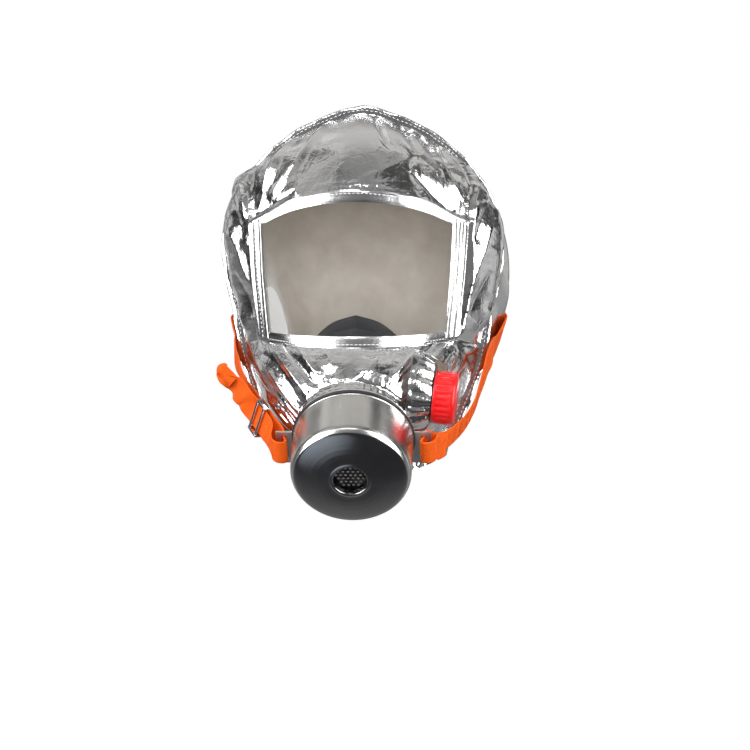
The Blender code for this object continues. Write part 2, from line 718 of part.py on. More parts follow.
def build():
    clear_scene()
    film = material("aluminised film", (0.82, 0.82, 0.83), 0.25, 1.0)
    clear = material("clear visor film", (0.95, 0.97, 0.98), 0.05, 0.0, 0.25)
    rubber = material("black rubber", (0.02, 0.02, 0.022), 0.55)
    plastic = material("black plastic", (0.03, 0.03, 0.03), 0.4)
    steel = material("polished steel", (0.6, 0.6, 0.61), 0.15, 1.0)
    mesh_steel = material("screen steel", (0.35, 0.35, 0.35), 0.35, 1.0)
    paper = material("filter paper", (0.88, 0.87, 0.82), 0.9)
    charcoal = material("catalyst grains", (0.06, 0.055, 0.05), 0.95)
    salt = material("desiccant grains", (0.75, 0.74, 0.7), 0.9)
    red = material("red plastic", (0.75, 0.02, 0.02), 0.3)
    webbing = material("orange webbing", (0.9, 0.16, 0.02), 0.8)
    forward = (0, -math.cos(CANISTER_TILT), -math.sin(CANISTER_TILT))
    canister_frame = frame_on("canister_axis", CANISTER_CENTRE, forward)
    valve_frame = frame_on("exhalation_valve_axis", CAP_CENTRE, CAP_AXIS)
    build_window(film, clear)
    build_front_panels(film)
    rear_panel = build_rear_panel(film)
    build_crown_seam(film)
    build_lower_face_panel(film, valve_frame)
    build_neck(film, rubber)
    build_half_mask(rubber, valve_frame)
    build_mask_fittings(canister_frame, plastic, film, steel, rubber)
    build_gasket(canister_frame, rubber)
    build_canister(canister_frame, (steel, plastic, paper, mesh_steel, charcoal, salt))
    build_exhalation_valve(valve_frame, plastic, rubber, red)
    build_strap(webbing, rear_panel)
    build_buckle(steel)


build()
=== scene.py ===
"""Looks of the smoke hood: crinkled aluminised film, clear window, steel canister, red valve cap, webbing."""

import itertools
import math

import bmesh
import bpy
import numpy as np
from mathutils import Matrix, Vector
from mathutils.bvhtree import BVHTree


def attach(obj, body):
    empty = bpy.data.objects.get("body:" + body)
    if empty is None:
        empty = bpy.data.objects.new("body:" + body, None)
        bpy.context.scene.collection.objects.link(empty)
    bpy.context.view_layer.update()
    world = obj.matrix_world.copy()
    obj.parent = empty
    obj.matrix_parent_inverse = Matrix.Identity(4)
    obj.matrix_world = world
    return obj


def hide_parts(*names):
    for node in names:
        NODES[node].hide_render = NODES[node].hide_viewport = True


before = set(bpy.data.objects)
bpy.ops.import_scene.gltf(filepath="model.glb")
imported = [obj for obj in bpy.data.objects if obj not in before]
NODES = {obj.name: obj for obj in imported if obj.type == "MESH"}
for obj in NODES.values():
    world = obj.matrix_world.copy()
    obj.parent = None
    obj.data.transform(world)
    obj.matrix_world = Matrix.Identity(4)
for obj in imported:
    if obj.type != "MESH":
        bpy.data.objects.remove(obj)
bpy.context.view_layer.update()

MM = 0.001

# Dimensions shared with the CAD, millimetres
HEM_WIDTH = 7.0
BINDING_WIDTH = 10.5
WINDOW_SPAN = 150.0
WINDOW_HEIGHT = 100.0
SEAM_Y = -15.0
NECK_BAND_HEIGHT = 13.0
STRAP_WIDTH = 20.0
STRAP_THICKNESS = 1.5
CANISTER_RADIUS = 43.0
CANISTER_TILT = math.radians(39)
CANISTER_CENTRE = np.array([0.0, -125.0, 8.0])
INLET_RADIUS = 12.0
CAP_CENTRE = np.array([66.0, -110.0, 37.5])
CAP_AXIS = (0.99, -0.02, -0.11)
CAP_RADIUS = 19.0
FILM_THICKNESS = 0.35

FORWARD = np.array([0, -math.cos(CANISTER_TILT), -math.sin(CANISTER_TILT)])
CANISTER_UP = np.array([0, -math.sin(CANISTER_TILT), math.cos(CANISTER_TILT)])
CANISTER_AXES = (np.array([1.0, 0, 0]), CANISTER_UP, FORWARD)

# A point inside the hood, which its surfaces face away from
INSIDE = np.array([0, 10, 110])


# Materials

def put(tree, node, **values):
    """Sets a node's attributes and inputs; an input given as a socket is linked."""
    for key, value in values.items():
        if hasattr(node, key):
            setattr(node, key, value)
            continue
        socket = node.inputs[key.replace("_", " ")]
        if isinstance(value, bpy.types.NodeSocket):
            tree.links.new(value, socket)
        elif socket.type == "RGBA":
            socket.default_value = (*value, 1)
        else:
            socket.default_value = value


def add(tree, kind, **values):
    node = tree.nodes.new("ShaderNode" + kind)
    put(tree, node, **values)
    return node


def stretched(tree, scale, coordinates="Object"):
    """Texture coordinates in metres, multiplied by scale along each axis."""
    place = add(tree, "TexCoord").outputs[coordinates]
    return add(tree, "Mapping", Scale=scale, Vector=place).outputs["Vector"]


def noise(tree, vector, scale, detail, roughness):
    node = add(tree, "TexNoise", Vector=vector, Scale=scale, Detail=detail, Roughness=roughness)
    return node.outputs["Fac"]


def cells(tree, vector, scale, feature="DISTANCE_TO_EDGE"):
    return add(tree, "TexVoronoi", feature=feature, Vector=vector, Scale=scale).outputs["Distance"]


def remap(tree, value, low, high, to_low=0.0, to_high=1.0):
    node = add(tree, "MapRange", Value=value, From_Min=low, From_Max=high, To_Min=to_low, To_Max=to_high)
    return node.outputs["Result"]


def ramp(tree, value, stops):
    node = add(tree, "ValToRGB", Fac=value)
    points = node.color_ramp.elements
    while len(points) < len(stops):
        points.new(0.5)
    for point, (at, colour) in zip(points, stops):
        point.position = at
        point.color = (*colour, 1)
    return node.outputs["Color"]


def calculate(tree, operation, *values):
    """A Math node's result; each value is a number or a socket."""
    node = add(tree, "Math", operation=operation)
    for socket, value in zip(node.inputs, values):
        if isinstance(value, bpy.types.NodeSocket):
            tree.links.new(value, socket)
        else:
            socket.default_value = value
    return node.outputs["Value"]


def blend(tree, amount, a, b, kind="MIX"):
    return add(tree, "MixRGB", blend_type=kind, Fac=amount, Color1=a, Color2=b).outputs["Color"]


def bump(tree, height, strength, distance, under=None):
    node = add(tree, "Bump", Height=height, Strength=strength, Distance=distance)
    if under:
        put(tree, node, Normal=under)
    return node.outputs["Normal"]


def new_material(name, coordinates="Object"):
    """A material with its node tree, its shader and its texture coordinates."""
    made = bpy.data.materials.new(name)
    made.use_nodes = True
    tree = made.node_tree
    return made, tree, tree.nodes["Principled BSDF"], stretched(tree, (1, 1, 1), coordinates)


def mottle(tree, shader, cloud, stops, roughness, span=(0.3, 0.8)):
    """Colour and roughness that both follow a noise."""
    put(tree, shader, Base_Color=ramp(tree, cloud, stops), Roughness=remap(tree, cloud, *span, *roughness))


def film_material(name, colour, rough, crinkle):
    """Aluminised film: a near mirror with fine creases, dulled where it has been handled."""
    made, tree, shader, place = new_material(name)
    dull = noise(tree, place, 28, 5, 0.6)
    stops = [(0.3, [0.93 * c for c in colour]), (0.65, colour)]
    mottle(tree, shader, dull, stops, (rough, rough + 0.14), (0.3, 0.75))
    normal = bump(tree, noise(tree, place, 90, 3, 0.5), crinkle, 0.0009)
    for size, width, share, depth in ((150, 0.16, 0.35, 0.0003), (420, 0.2, 0.22, 0.00012)):
        creased = remap(tree, cells(tree, place, size), 0.0, width)
        normal = bump(tree, creased, crinkle * share, depth, normal)
    put(tree, shader, Metallic=1.0, Normal=normal)
    return made


def cloth_material(name, light, dark, thread):
    """A plain woven cloth: the film's lining, or a sewing thread's twist."""
    made, tree, shader, place = new_material(name)
    colour = ramp(tree, noise(tree, place, 60, 5, 0.6), [(0.3, dark), (0.7, light)])
    weave = None
    for bands in ("X", "Z"):
        wave = add(tree, "TexWave", bands_direction=bands, Vector=place, Scale=thread, Distortion=0.6)
        weave = bump(tree, wave.outputs["Fac"], 0.35, 0.0002, weave)
    put(tree, shader, Base_Color=colour, Roughness=0.72, Normal=weave)
    return made


def clear_material():
    """Clear film: it reflects like gloss at its edges, and is open to the light elsewhere."""
    made, tree, shader, place = new_material("clear_film")
    haze = noise(tree, place, 35, 4, 0.6)
    put(tree, shader, Base_Color=(0.93, 0.95, 0.96), IOR=1.5,
        Roughness=remap(tree, haze, 0.3, 0.8, 0.04, 0.12),
        Normal=bump(tree, noise(tree, place, 22, 2, 0.4), 0.12, 0.001))
    edge = add(tree, "LayerWeight", Blend=0.28)
    open_film = add(tree, "BsdfTransparent", Color=(0.975, 0.98, 0.985))
    mix = add(tree, "MixShader", Fac=remap(tree, edge.outputs["Fresnel"], 0.08, 1.0, 0.004, 0.36))
    tree.links.new(open_film.outputs[0], mix.inputs[1])
    tree.links.new(shader.outputs[0], mix.inputs[2])
    put(tree, tree.nodes["Material Output"], Surface=mix.outputs[0])
    return made


def rubber_material(name, colour, rough):
    """Black rubber or plastic, a little dusty, with a fine grain."""
    made, tree, shader, place = new_material(name)
    pale = [c * 1.9 + 0.006 for c in colour]
    dust = noise(tree, place, 45, 6, 0.65)
    mottle(tree, shader, dust, [(0.35, colour), (0.8, pale)], (rough - 0.05, rough + 0.14))
    put(tree, shader, Normal=bump(tree, noise(tree, place, 1600, 3, 0.6), 0.18, 0.0001))
    return made


def red_material():
    made, tree, shader, place = new_material("red_plastic")
    stops = [(0.3, (0.60, 0.004, 0.006)), (0.7, (0.80, 0.012, 0.012))]
    mottle(tree, shader, noise(tree, place, 50, 4, 0.6), stops, (0.26, 0.4))
    put(tree, shader, Coat_Weight=0.25, Subsurface_Weight=0.06, Subsurface_Radius=(0.004, 0.0008, 0.0006),
        Normal=bump(tree, noise(tree, place, 1100, 3, 0.6), 0.12, 0.0001))
    return made


def steel_material(name, colour, rough, brushed=0.0, wavy=False):
    """Drawn steel with fine lines, deeper where it is brushed, and a slight waviness if it is wavy."""
    made, tree, shader, place = new_material(name)
    stops = [(0.3, [c * 0.86 for c in colour]), (0.7, colour)]
    mottle(tree, shader, noise(tree, place, 40, 5, 0.6), stops, (rough, rough + 0.1))
    lines = noise(tree, stretched(tree, (2600, 40, 90)), 1.0, 5.0, 0.65)
    normal = bump(tree, lines, 0.05 + brushed, 0.00005)
    if wavy:
        normal = bump(tree, noise(tree, place, 240, 3, 0.5), 0.06, 0.0002, normal)
    put(tree, shader, Metallic=1.0, Normal=normal)
    return made


def screen_material():
    """Dull, darkened steel for perforated plates and meshes."""
    made, tree, shader, place = new_material("screen_steel")
    cloud = noise(tree, place, 220, 4, 0.6)
    mottle(tree, shader, cloud, [(0.3, (0.05, 0.05, 0.05)), (0.75, (0.16, 0.16, 0.155))], (0.3, 0.55))
    put(tree, shader, Metallic=1.0, Normal=bump(tree, cloud, 0.2, 0.0002))
    return made


def grain_material(name, light, dark, size):
    """Loose grains or paper fibres: colour and height from the same cells."""
    made, tree, shader, place = new_material(name)
    grains = cells(tree, place, size, "F1")
    put(tree, shader, Base_Color=ramp(tree, grains, [(0.1, light), (0.6, dark)]), Roughness=0.9,
        Normal=bump(tree, grains, 0.8, 0.0008))
    return made


def webbing_material():
    """Orange webbing. Its UVs are in centimetres: U across the strap, V along it."""
    made, tree, shader, place = new_material("orange_webbing", "UV")
    separate = add(tree, "SeparateXYZ", Vector=place)
    waves = []
    for axis, threads_per_cm in (("X", 6), ("Y", 5)):
        turns = calculate(tree, "MULTIPLY", separate.outputs[axis], 2 * math.pi * threads_per_cm)
        waves.append(calculate(tree, "SINE", turns))
    weave = calculate(tree, "MULTIPLY", *waves)
    threads = noise(tree, place, 26, 4, 0.7)
    # Colour follows random thread tone and the weave's height: painted shade in the weave's dips and a
    # painted highlight on its raised threads
    tone_and_painted_shade = calculate(tree, "ADD", calculate(tree, "MULTIPLY", weave, 0.3), threads)
    stops = [(0.2, (0.62, 0.055, 0.002)), (0.55, (0.98, 0.125, 0.004)), (0.9, (1.0, 0.21, 0.02))]
    put(tree, shader, Base_Color=ramp(tree, tone_and_painted_shade, stops), Roughness=0.62, Specular_IOR_Level=0.25,
        Normal=bump(tree, threads, 0.4, 0.0003, bump(tree, weave, 0.6, 0.0005)))
    return made


FILM = film_material("aluminised_film", (0.92, 0.92, 0.93), 0.09, 0.50)
FILM_SMOOTH = film_material("aluminised_film_smooth", (0.86, 0.86, 0.87), 0.15, 0.16)
LINING = cloth_material("film_lining", (0.86, 0.80, 0.72), (0.74, 0.68, 0.60), 900)
THREAD = cloth_material("sewing_thread", (0.90, 0.90, 0.88), (0.70, 0.70, 0.69), 4000)
CLEAR = clear_material()
RUBBER = rubber_material("black_rubber", (0.012, 0.012, 0.013), 0.46)
PLASTIC = rubber_material("black_plastic", (0.02, 0.02, 0.021), 0.36)
RED = red_material()
STEEL_SIDE = steel_material("brushed_steel", (0.82, 0.81, 0.79), 0.20, brushed=0.16)
# The front's steel is the side's steel, polished and wavy, in a much darker colour: painted shade for the
# dark room that its face reflects
STEEL_FRONT_PAINTED_DARK = steel_material("polished_steel", (0.46, 0.46, 0.47), 0.12, wavy=True)
PLATED = steel_material("plated_steel", (0.88, 0.88, 0.87), 0.42)
CHROME = steel_material("bright_steel", (0.86, 0.86, 0.87), 0.08)
SCREEN = screen_material()
PAPER = grain_material("filter_paper", (0.90, 0.89, 0.84), (0.80, 0.78, 0.72), 1400)
SALT = grain_material("desiccant_grains", (0.82, 0.81, 0.77), (0.55, 0.53, 0.48), 520)
CATALYST = grain_material("catalyst_grains", (0.10, 0.09, 0.08), (0.02, 0.018, 0.016), 480)
WEBBING = webbing_material()


# Curves and surfaces, as in the CAD

def spline(points, by_point=False):
    """A smooth curve through the points: a function of 0..1, by length along the chords,
    or with by_point by the number of points passed."""
    p = np.array(points, float)
    at = np.concatenate([[0], np.cumsum(np.linalg.norm(np.diff(p, axis=0), axis=1))])
    at /= at[-1]
    slopes = np.gradient(p, at, axis=0)

    def curve(t):
        if by_point:
            t = np.interp(t, np.linspace(0, 1, len(at)), at)
        i = int(np.clip(np.searchsorted(at, t, side="right") - 1, 0, len(at) - 2))
        h = at[i + 1] - at[i]
        s = (t - at[i]) / h
        return (
            (2 * s**3 - 3 * s**2 + 1) * p[i]
            + (s**3 - 2 * s**2 + s) * h * slopes[i]
            + (3 * s**2 - 2 * s**3) * p[i + 1]
            + (s**3 - s**2) * h * slopes[i + 1]
        )

    return curve


def mirrored(curve):
    return lambda t: curve(t) * (-1, 1, 1)


def part_of(curve, start, end):
    return lambda t: curve(start + (end - start) * t)


def coons(bottom, top, left, right, bulge=(0, 0, 0)):
    """The surface that four edge curves bound: u runs from left to right, v from bottom to top."""
    bulge = np.array(bulge, float)

    def surface(u, v):
        corners = (
            (1 - u) * (1 - v) * bottom(0) + u * (1 - v) * bottom(1)
            + (1 - u) * v * top(0) + u * v * top(1)
        )
        edges = (1 - v) * bottom(u) + v * top(u) + (1 - u) * left(v) + u * right(v)
        return edges - corners + bulge * 16 * u * (1 - u) * v * (1 - v)

    return surface


def half_width(z):
    heights = [8, 30, 50, 72, 96, 118, 145, 163, 181, 197, 210, 221, 232, 240, 244, 246]
    widths = [63, 71, 79, 85.5, 89, 93.5, 98.5, 97.5, 91, 81.5, 70, 57.5, 41, 22, 11.5, 0]
    return float(np.interp(z, heights, widths))


def seam_curve():
    heights = [8, 30, 50, 72, 96, 118, 140, 160, 178, 194, 208, 221, 232, 240, 244]
    return spline([(half_width(z), SEAM_Y, z) for z in heights] + [(0, SEAM_Y, 246)])


SEAM = seam_curve()
SEAM_AT_SIDE = 0.245
SEAM_AT_BROW = 0.79
FRAME_TOP = spline([(-79, -73, 164), (-45, -93, 179.5), (0, -103, 185.5), (45, -93, 179.5), (79, -73, 164)])
FRAME_BOTTOM = spline([(-71, -74, 80), (-40, -104, 75), (0, -117, 73.5), (40, -104, 75), (71, -74, 80)])
FRAME_SIDE = spline([(71, -74, 80), (76, -75.5, 122), (79, -73, 164)])
BROW_SIDE = spline([(79, -73, 164), (78, -56, 194), (*SEAM(SEAM_AT_BROW),)])
SIDE_BOTTOM = spline([(71, -74, 80), (82, -48, 77), (*SEAM(SEAM_AT_SIDE),)])
HEM_FRONT = spline([(63, SEAM_Y, 8), (42, -44, -1), (0, -57, -7), (-42, -44, -1), (-63, SEAM_Y, 8)])
HEM_REAR = spline([(63, SEAM_Y, 8), (52, 30, 17), (0, 74, 26), (-52, 30, 17), (-63, SEAM_Y, 8)])


def whole_seam(t):
    """The seam from ear to ear: t 0 on the wearer's left, 0.5 at the crown."""
    point = SEAM(1 - abs(2 * t - 1))
    return point * (1 if t < 0.5 else -1, 1, 1)


def in_front_of_seam(surface, depth):
    def shifted(u, v):
        point = surface(u, v)
        point[1] = min(point[1], SEAM_Y - depth)
        return point
    return shifted


def canister_point(angle, radius, height):
    """A point round the canister's axis: angle 0 is up, 90 degrees is +X; height runs forwards."""
    around = np.array([math.sin(angle), 0, 0]) + CANISTER_UP * math.cos(angle)
    return CANISTER_CENTRE + FORWARD * height + around * radius


# Creases

def scramble(cell, seed):
    """A repeatable number from 0 to 1 for each whole-number cell."""
    n = cell[..., 0] * 73856093 ^ cell[..., 1] * 19349663 ^ seed * 83492791
    n = (n ^ (n >> 13)) * 1274126177 & 0x7FFFFFFF
    n = (n ^ (n >> 15)) * 668265263 & 0x7FFFFFFF
    return ((n ^ (n >> 14)) & 0xFFFF) / 65535.0


def facets(places, size, seed):
    """Creased film: nearly flat facets that meet in sharp valleys, about 1 high for cells 1 wide."""
    p = places / size
    cell = np.floor(p).astype(np.int64)
    best = np.full(p.shape[:-1], -9.0)
    for step in itertools.product((-2, -1, 0, 1, 2), repeat=2):
        c = cell + np.array(step)
        centre = c + np.stack([scramble(c, seed + k) for k in (1, 2)], -1)
        slope = np.stack([scramble(c, seed + k) - 0.5 for k in (3, 4)], -1) * 1.5
        d = p - centre
        height = 0.4 * scramble(c, seed + 5) + (d * slope).sum(-1) - 0.5 * (d * d).sum(-1)
        best = np.maximum(best, height)
    return best


def along_grain(places, angle, ratio):
    """Places turned and squeezed so that the facets are ratio times longer in one direction."""
    turn = math.radians(angle)
    long = places[..., 0] * math.cos(turn) + places[..., 1] * math.sin(turn)
    short = -places[..., 0] * math.sin(turn) + places[..., 1] * math.cos(turn)
    return np.stack([long / ratio, short], -1)


def crumpled(places, size, seed, angle, ratio):
    """Facets with both ridges and valleys, in millimetres for places in millimetres."""
    grain = along_grain(places, angle, ratio)
    wander = 0.12 * size * np.sin(grain[..., ::-1] / size * 1.7 + seed)
    grain = grain + wander
    return (facets(grain, size, seed) - facets(grain, size * 1.13, seed + 50)) * size * 0.5

def creases(places, *layers):
    """Crumples of several sizes: each layer is (size, seed, angle, ratio, height)."""
    return sum(crumpled(places, *layer[:4]) * layer[4] for layer in layers)


def fold(points, start, end, width, height):
    """A fold along a line across the front view: points near it rise by height, with a crisp crest."""
    p = points[..., [0, 2]]
    a, b = np.array(start, float), np.array(end, float)
    line = b - a
    t = ((p - a) @ line) / np.linalg.norm(line) ** 2
    off = p - a - t[..., None] * line
    side = np.sign(off[..., 0] * line[1] - off[..., 1] * line[0])
    across = np.linalg.norm(off, axis=-1) / width
    across = np.where(side > 0, across, across * 1.8)
    taper = np.clip(t * (1 - t) * 4.5, 0, 1) ** 0.7 * ((t > 0) & (t < 1))
    crest = 0.6 * np.exp(-across * 1.7) + 0.4 * np.exp(-across**2)
    return height * taper * crest


def folded(rise, points, folds):
    """Adds folds to a grid's rise: each is (start, end, width, height)."""
    for one in folds:
        rise = rise + fold(points, *one)
    return rise


def smoothstep(value, low, high):
    t = np.clip((value - low) / (high - low), 0, 1)
    return t * t * (3 - 2 * t)


# Meshes

def unit(vector):
    return vector / np.linalg.norm(vector)


def in_scene(name, data):
    made = bpy.data.objects.new(name, data)
    bpy.context.scene.collection.objects.link(made)
    return made


def object_from(name, points, faces):
    mesh = bpy.data.meshes.new(name)
    mesh.from_pydata((np.asarray(points).reshape(-1, 3) * MM).tolist(), [], faces)
    mesh.update()
    return in_scene(name, mesh)


def edit(obj, action):
    """Runs an action on an object's mesh as a bmesh."""
    bm = bmesh.new()
    bm.from_mesh(obj.data)
    action(bm)
    bm.to_mesh(obj.data)
    bm.free()


def recalculate(bm):
    bmesh.ops.recalc_face_normals(bm, faces=bm.faces)


def apply_modifiers(obj):
    depsgraph = bpy.context.evaluated_depsgraph_get()
    mesh = bpy.data.meshes.new_from_object(obj.evaluated_get(depsgraph))
    obj.modifiers.clear()
    obj.data = mesh


def finish(obj, materials, replaced, body, angle):
    """Gives a piece its materials, its body and the nodes that it stands for."""
    for item in materials:
        obj.data.materials.append(item)
    obj.data.shade_smooth()
    if angle:
        obj.data.set_sharp_from_angle(angle=math.radians(angle))
    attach(obj, body)
    if replaced:
        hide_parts(*replaced)
    return obj


def grid_faces(rows, columns, joined=False):
    index = np.arange(rows * columns).reshape(rows, columns)
    if joined:
        index = np.concatenate([index, index[:, :1]], axis=1)
    corners = np.stack([index[:-1, :-1], index[:-1, 1:], index[1:, 1:], index[1:, :-1]], -1)
    return corners.reshape(-1, 4).tolist()


def sample(surface, columns, rows, us=(0, 1), vs=(0, 1), joined=False):
    """A grid of points on a surface, and the u and v of each. joined: the last column meets the first."""
    u = np.linspace(*us, columns, endpoint=not joined)
    v = np.linspace(*vs, rows)
    points = np.array([[surface(a, b) for a in u] for b in v])
    return points, *np.meshgrid(u, v)


def normals_of(points, joined, outward_from):
    """Unit normals of a grid of points, turned away from a point inside."""
    if joined:
        along = np.roll(points, -1, axis=1) - np.roll(points, 1, axis=1)
    else:
        along = np.gradient(points, axis=1)
    normal = np.cross(along, np.gradient(points, axis=0))
    normal /= np.maximum(np.linalg.norm(normal, axis=-1, keepdims=True), 1e-9)
    facing = (normal * (points - outward_from)).sum(-1).mean()
    return normal * (1 if facing > 0 else -1)


def faces_outward(points, faces, normals):
    """Whether the faces' winding follows the normals, judged on about 200 of them."""
    flat, outward = points.reshape(-1, 3), normals.reshape(-1, 3)
    some = np.array(faces)[:: max(1, len(faces) // 200)]
    a, b, c = (flat[some[:, i]] for i in range(3))
    return (np.cross(b - a, c - b) * outward[some[:, 0]]).sum() > 0


def film_piece(name, points, rise, joined=False, outward_from=INSIDE, thickness=FILM_THICKNESS,
               materials=(FILM, LINING)):
    """A grid of points raised along its normals, with its thickness on the inner side, lined inside."""
    normals = normals_of(points, joined, outward_from)
    faces = grid_faces(*points.shape[:2], joined)
    made = object_from(name, points + normals * np.asarray(rise)[..., None], faces)
    for item in materials:
        made.data.materials.append(item)
    if not faces_outward(points, faces, normals):
        edit(made, lambda bm: bmesh.ops.reverse_faces(bm, faces=bm.faces))
    solidify = made.modifiers.new("thickness", "SOLIDIFY")
    solidify.thickness = thickness * MM
    solidify.offset = -1
    solidify.material_offset = 1
    apply_modifiers(made)
    return made


def panel(name, points, rise, node, **settings):
    """A panel of the hood's film, which stands for a CAD node."""
    made = film_piece(name, points, rise, **settings)
    return finish(made, [], [node], "root", 75)


def circle(centre, x, y, radius, steps):
    """Points round a centre, from x towards y; radius is a number, or one for each point."""
    turns = 2 * math.pi * np.arange(steps) / steps
    return centre + np.outer(np.cos(turns) * radius, x) + np.outer(np.sin(turns) * radius, y)


def tubes(name, grids):
    """Closed bodies in one mesh: a grid's rows join up round its body, its columns are its sections."""
    points, faces = [], []
    for grid in grids:
        rows, columns = grid.shape[:2]
        index = len(points) + np.arange(rows * columns).reshape(rows, columns)
        ahead = np.roll(index, -1, axis=0)
        sides = np.stack([index[:, :-1], index[:, 1:], ahead[:, 1:], ahead[:, :-1]], -1)
        faces += sides.reshape(-1, 4).tolist() + [index[:, 0].tolist(), index[::-1, -1].tolist()]
        points += grid.reshape(-1, 3).tolist()
    made = object_from(name, points, faces)
    edit(made, recalculate)
    return made


def subtract(obj, grids):
    """Cuts closed bodies out of an object."""
    tool = tubes("tool", grids)
    boolean = obj.modifiers.new("opening", "BOOLEAN")
    boolean.operation = "DIFFERENCE"
    boolean.solver = "EXACT"
    boolean.object = tool
    apply_modifiers(obj)
    bpy.data.objects.remove(tool)


def edge_fade(shape, margin, sides="lrbt"):
    """0 at the chosen edges of a grid, rising to 1 at margin points inside."""
    rows, columns = np.mgrid[0:shape[0], 0:shape[1]]
    distances = {"l": columns, "r": shape[1] - 1 - columns, "b": rows, "t": shape[0] - 1 - rows}
    return smoothstep(np.min([distances[side] for side in sides], axis=0), 0, margin)


def declare_film(obj, width=None):
    """Works out the film's area and, unless a width is given, a flat width from its bounds; it keeps neither.
    """
    area = sum(face.area for face in obj.data.polygons) / 2
    if width is None:
        low = np.min([v.co for v in obj.data.vertices], axis=0)
        high = np.max([v.co for v in obj.data.vertices], axis=0)
        ratio = (high[0] - low[0]) / max(high[2] - low[2], high[1] - low[1])
        width = math.sqrt(area * ratio)


def ray_tree(mesh):
    """A tree for casting rays at a mesh."""
    return BVHTree.FromPolygons([v.co for v in mesh.vertices], [tuple(f.vertices) for f in mesh.polygons])


# The hood

WINDOW = coons(FRAME_BOTTOM, FRAME_TOP, mirrored(FRAME_SIDE), FRAME_SIDE)
BINDING_SHARE = BINDING_WIDTH / WINDOW_SPAN
HEM_SHARE = HEM_WIDTH / WINDOW_HEIGHT


def crown_front(t):
    side = abs(2 * t - 1)
    point = SEAM(1 - (1 - SEAM_AT_BROW) * side)
    return point * (1 if t > 0.5 else -1, 1, 1)


def build_brow():
    """The brow panel: smooth in the middle, creased and folded towards its sides."""
    surface = coons(FRAME_TOP, crown_front, mirrored(BROW_SIDE), BROW_SIDE, bulge=(0, -2, 5))
    points, _, _ = sample(in_front_of_seam(surface, 0.3), 190, 110, (0, 1), (-0.01, 1))
    x = points[..., 0]
    away = smoothstep(np.abs(x + 2), 26, 62)
    front = points[..., [0, 2]]
    rise = 0
    for angle, weight in ((52, x < 0), (122, x >= 0)):
        rise = rise + weight * creases(
            front,
            (30, 11, angle, 3.0, 0.06 + 0.72 * away),
            (13, 12, angle, 2.6, 0.03 + 0.50 * away),
            (5.5, 13, angle, 2.0, 0.015 + 0.20 * away),
        )
    middle = smoothstep(np.abs(x), 0, 10)
    rise = rise * middle + creases(front, (20, 14, 90, 1.5, 0.05)) * (1 - middle)
    rise = folded(rise, points, [
        ((-18, 246), (-64, 180), 6.5, 3.2), ((-30, 240), (-50, 196), 3.5, -2.0),
        ((-44, 232), (-70, 186), 5, 1.8), ((-62, 215), (-84, 182), 5, 2.2),
        ((8, 248), (26, 216), 3.2, -3.4), ((26, 245), (46, 214), 3.6, -3.8),
        ((44, 237), (56, 214), 3.2, -3.2), ((60, 226), (68, 206), 3.2, -2.6), ((72, 172), (38, 200), 5, -2.3),
        ((78, 176), (58, 214), 5, 2.0), ((-30, 190), (40, 192), 5, 0.5), ((-8, 188), (46, 214), 6, 0.5),
        ((-74, 172), (-44, 186), 5, -1.6),
    ])
    return panel("brow_film", points, rise * edge_fade(rise.shape, 7) + 0.25, "brow_panel")


def side_surface():
    bend = 0.47

    def inner(t):
        return FRAME_SIDE(t / bend) if t < bend else BROW_SIDE((t - bend) / (1 - bend))

    outer = part_of(SEAM, SEAM_AT_SIDE, SEAM_AT_BROW - 0.005)
    top_edge = spline([inner(1), outer(1)])
    return in_front_of_seam(coons(SIDE_BOTTOM, top_edge, inner, outer, bulge=(7, -3, 2)), 0.3)


def build_side(word, mirror, seed):
    """One side panel, shaped on the left and mirrored for the right."""
    left, _, _ = sample(side_surface(), 80, 170)
    flat = np.stack([left[..., 0] - left[..., 1] * 0.6, left[..., 2]], -1)
    rise = creases(
        flat,
        (24, seed, 82, 3.0, 0.80),
        (11, seed + 1, 62, 2.4, 0.56),
        (5, seed + 2, 100, 1.6, 0.22),
    )
    rise = folded(rise, left, [
        ((78, 118), (96, 168), 6, 2.0), ((76, 96), (92, 130), 5, -2.2), ((80, 84), (90, 104), 4, 1.8),
        ((82, 150), (94, 186), 5, -2.0), ((79, 168), (90, 200), 5, 1.6),
    ])
    rise = rise * edge_fade(rise.shape, 6) + 0.25
    return panel(f"{word}_side_film", left * (mirror, 1, 1), rise, f"{word}_side_panel")


def rear_surface(u, v):
    """From the seam, v 0, round the back of the head to the hem, v 1."""
    start, end = whole_seam(u), HEM_REAR(u)
    middle = math.sin(math.pi * u)
    out = start + (end - start) * v
    swell = math.sin(math.pi * min(max(v, 0), 1)) ** 0.8
    out[1] += swell * (22 + 66 * middle**1.2)
    out[2] += swell * (4 * (1 - middle) + 38 * middle**3 * (1 - v) + 12 * middle)
    above_hem = min(1, min(u, 1 - u) / 0.22)
    out[0] *= 1 + swell * above_hem * (0.25 + 0.15 * (1 - middle))
    out[1] = max(out[1], SEAM_Y + 0.3)
    return out


def build_rear():
    """The rear panel, which is smoother film with long shallow folds."""
    points, u, _ = sample(rear_surface, 260, 150, (0.001, 0.999))
    flat = np.stack([(u - 0.5) * 380, points[..., 2] + points[..., 1] * 0.3], -1)
    rise = creases(flat, (34, 41, 80, 2.6, 0.42), (15, 42, 100, 2.2, 0.34), (7, 43, 90, 1.6, 0.14))
    rise = folded(rise, points, [
        ((70, 120), (20, 60), 8, 1.4), ((-66, 128), (-24, 66), 8, 1.5), ((-20, 190), (-44, 110), 9, 1.2),
        ((26, 200), (40, 120), 9, -1.2), ((-80, 160), (-70, 90), 7, -1.2), ((84, 150), (74, 84), 7, 1.2),
        ((0, 220), (6, 130), 10, 0.9),
    ])
    rise = np.clip(rise * edge_fade(rise.shape, 6) - 0.5, -3.5, 0.8)
    return panel("rear_film", points, rise, "rear_panel", materials=(FILM_SMOOTH, LINING))


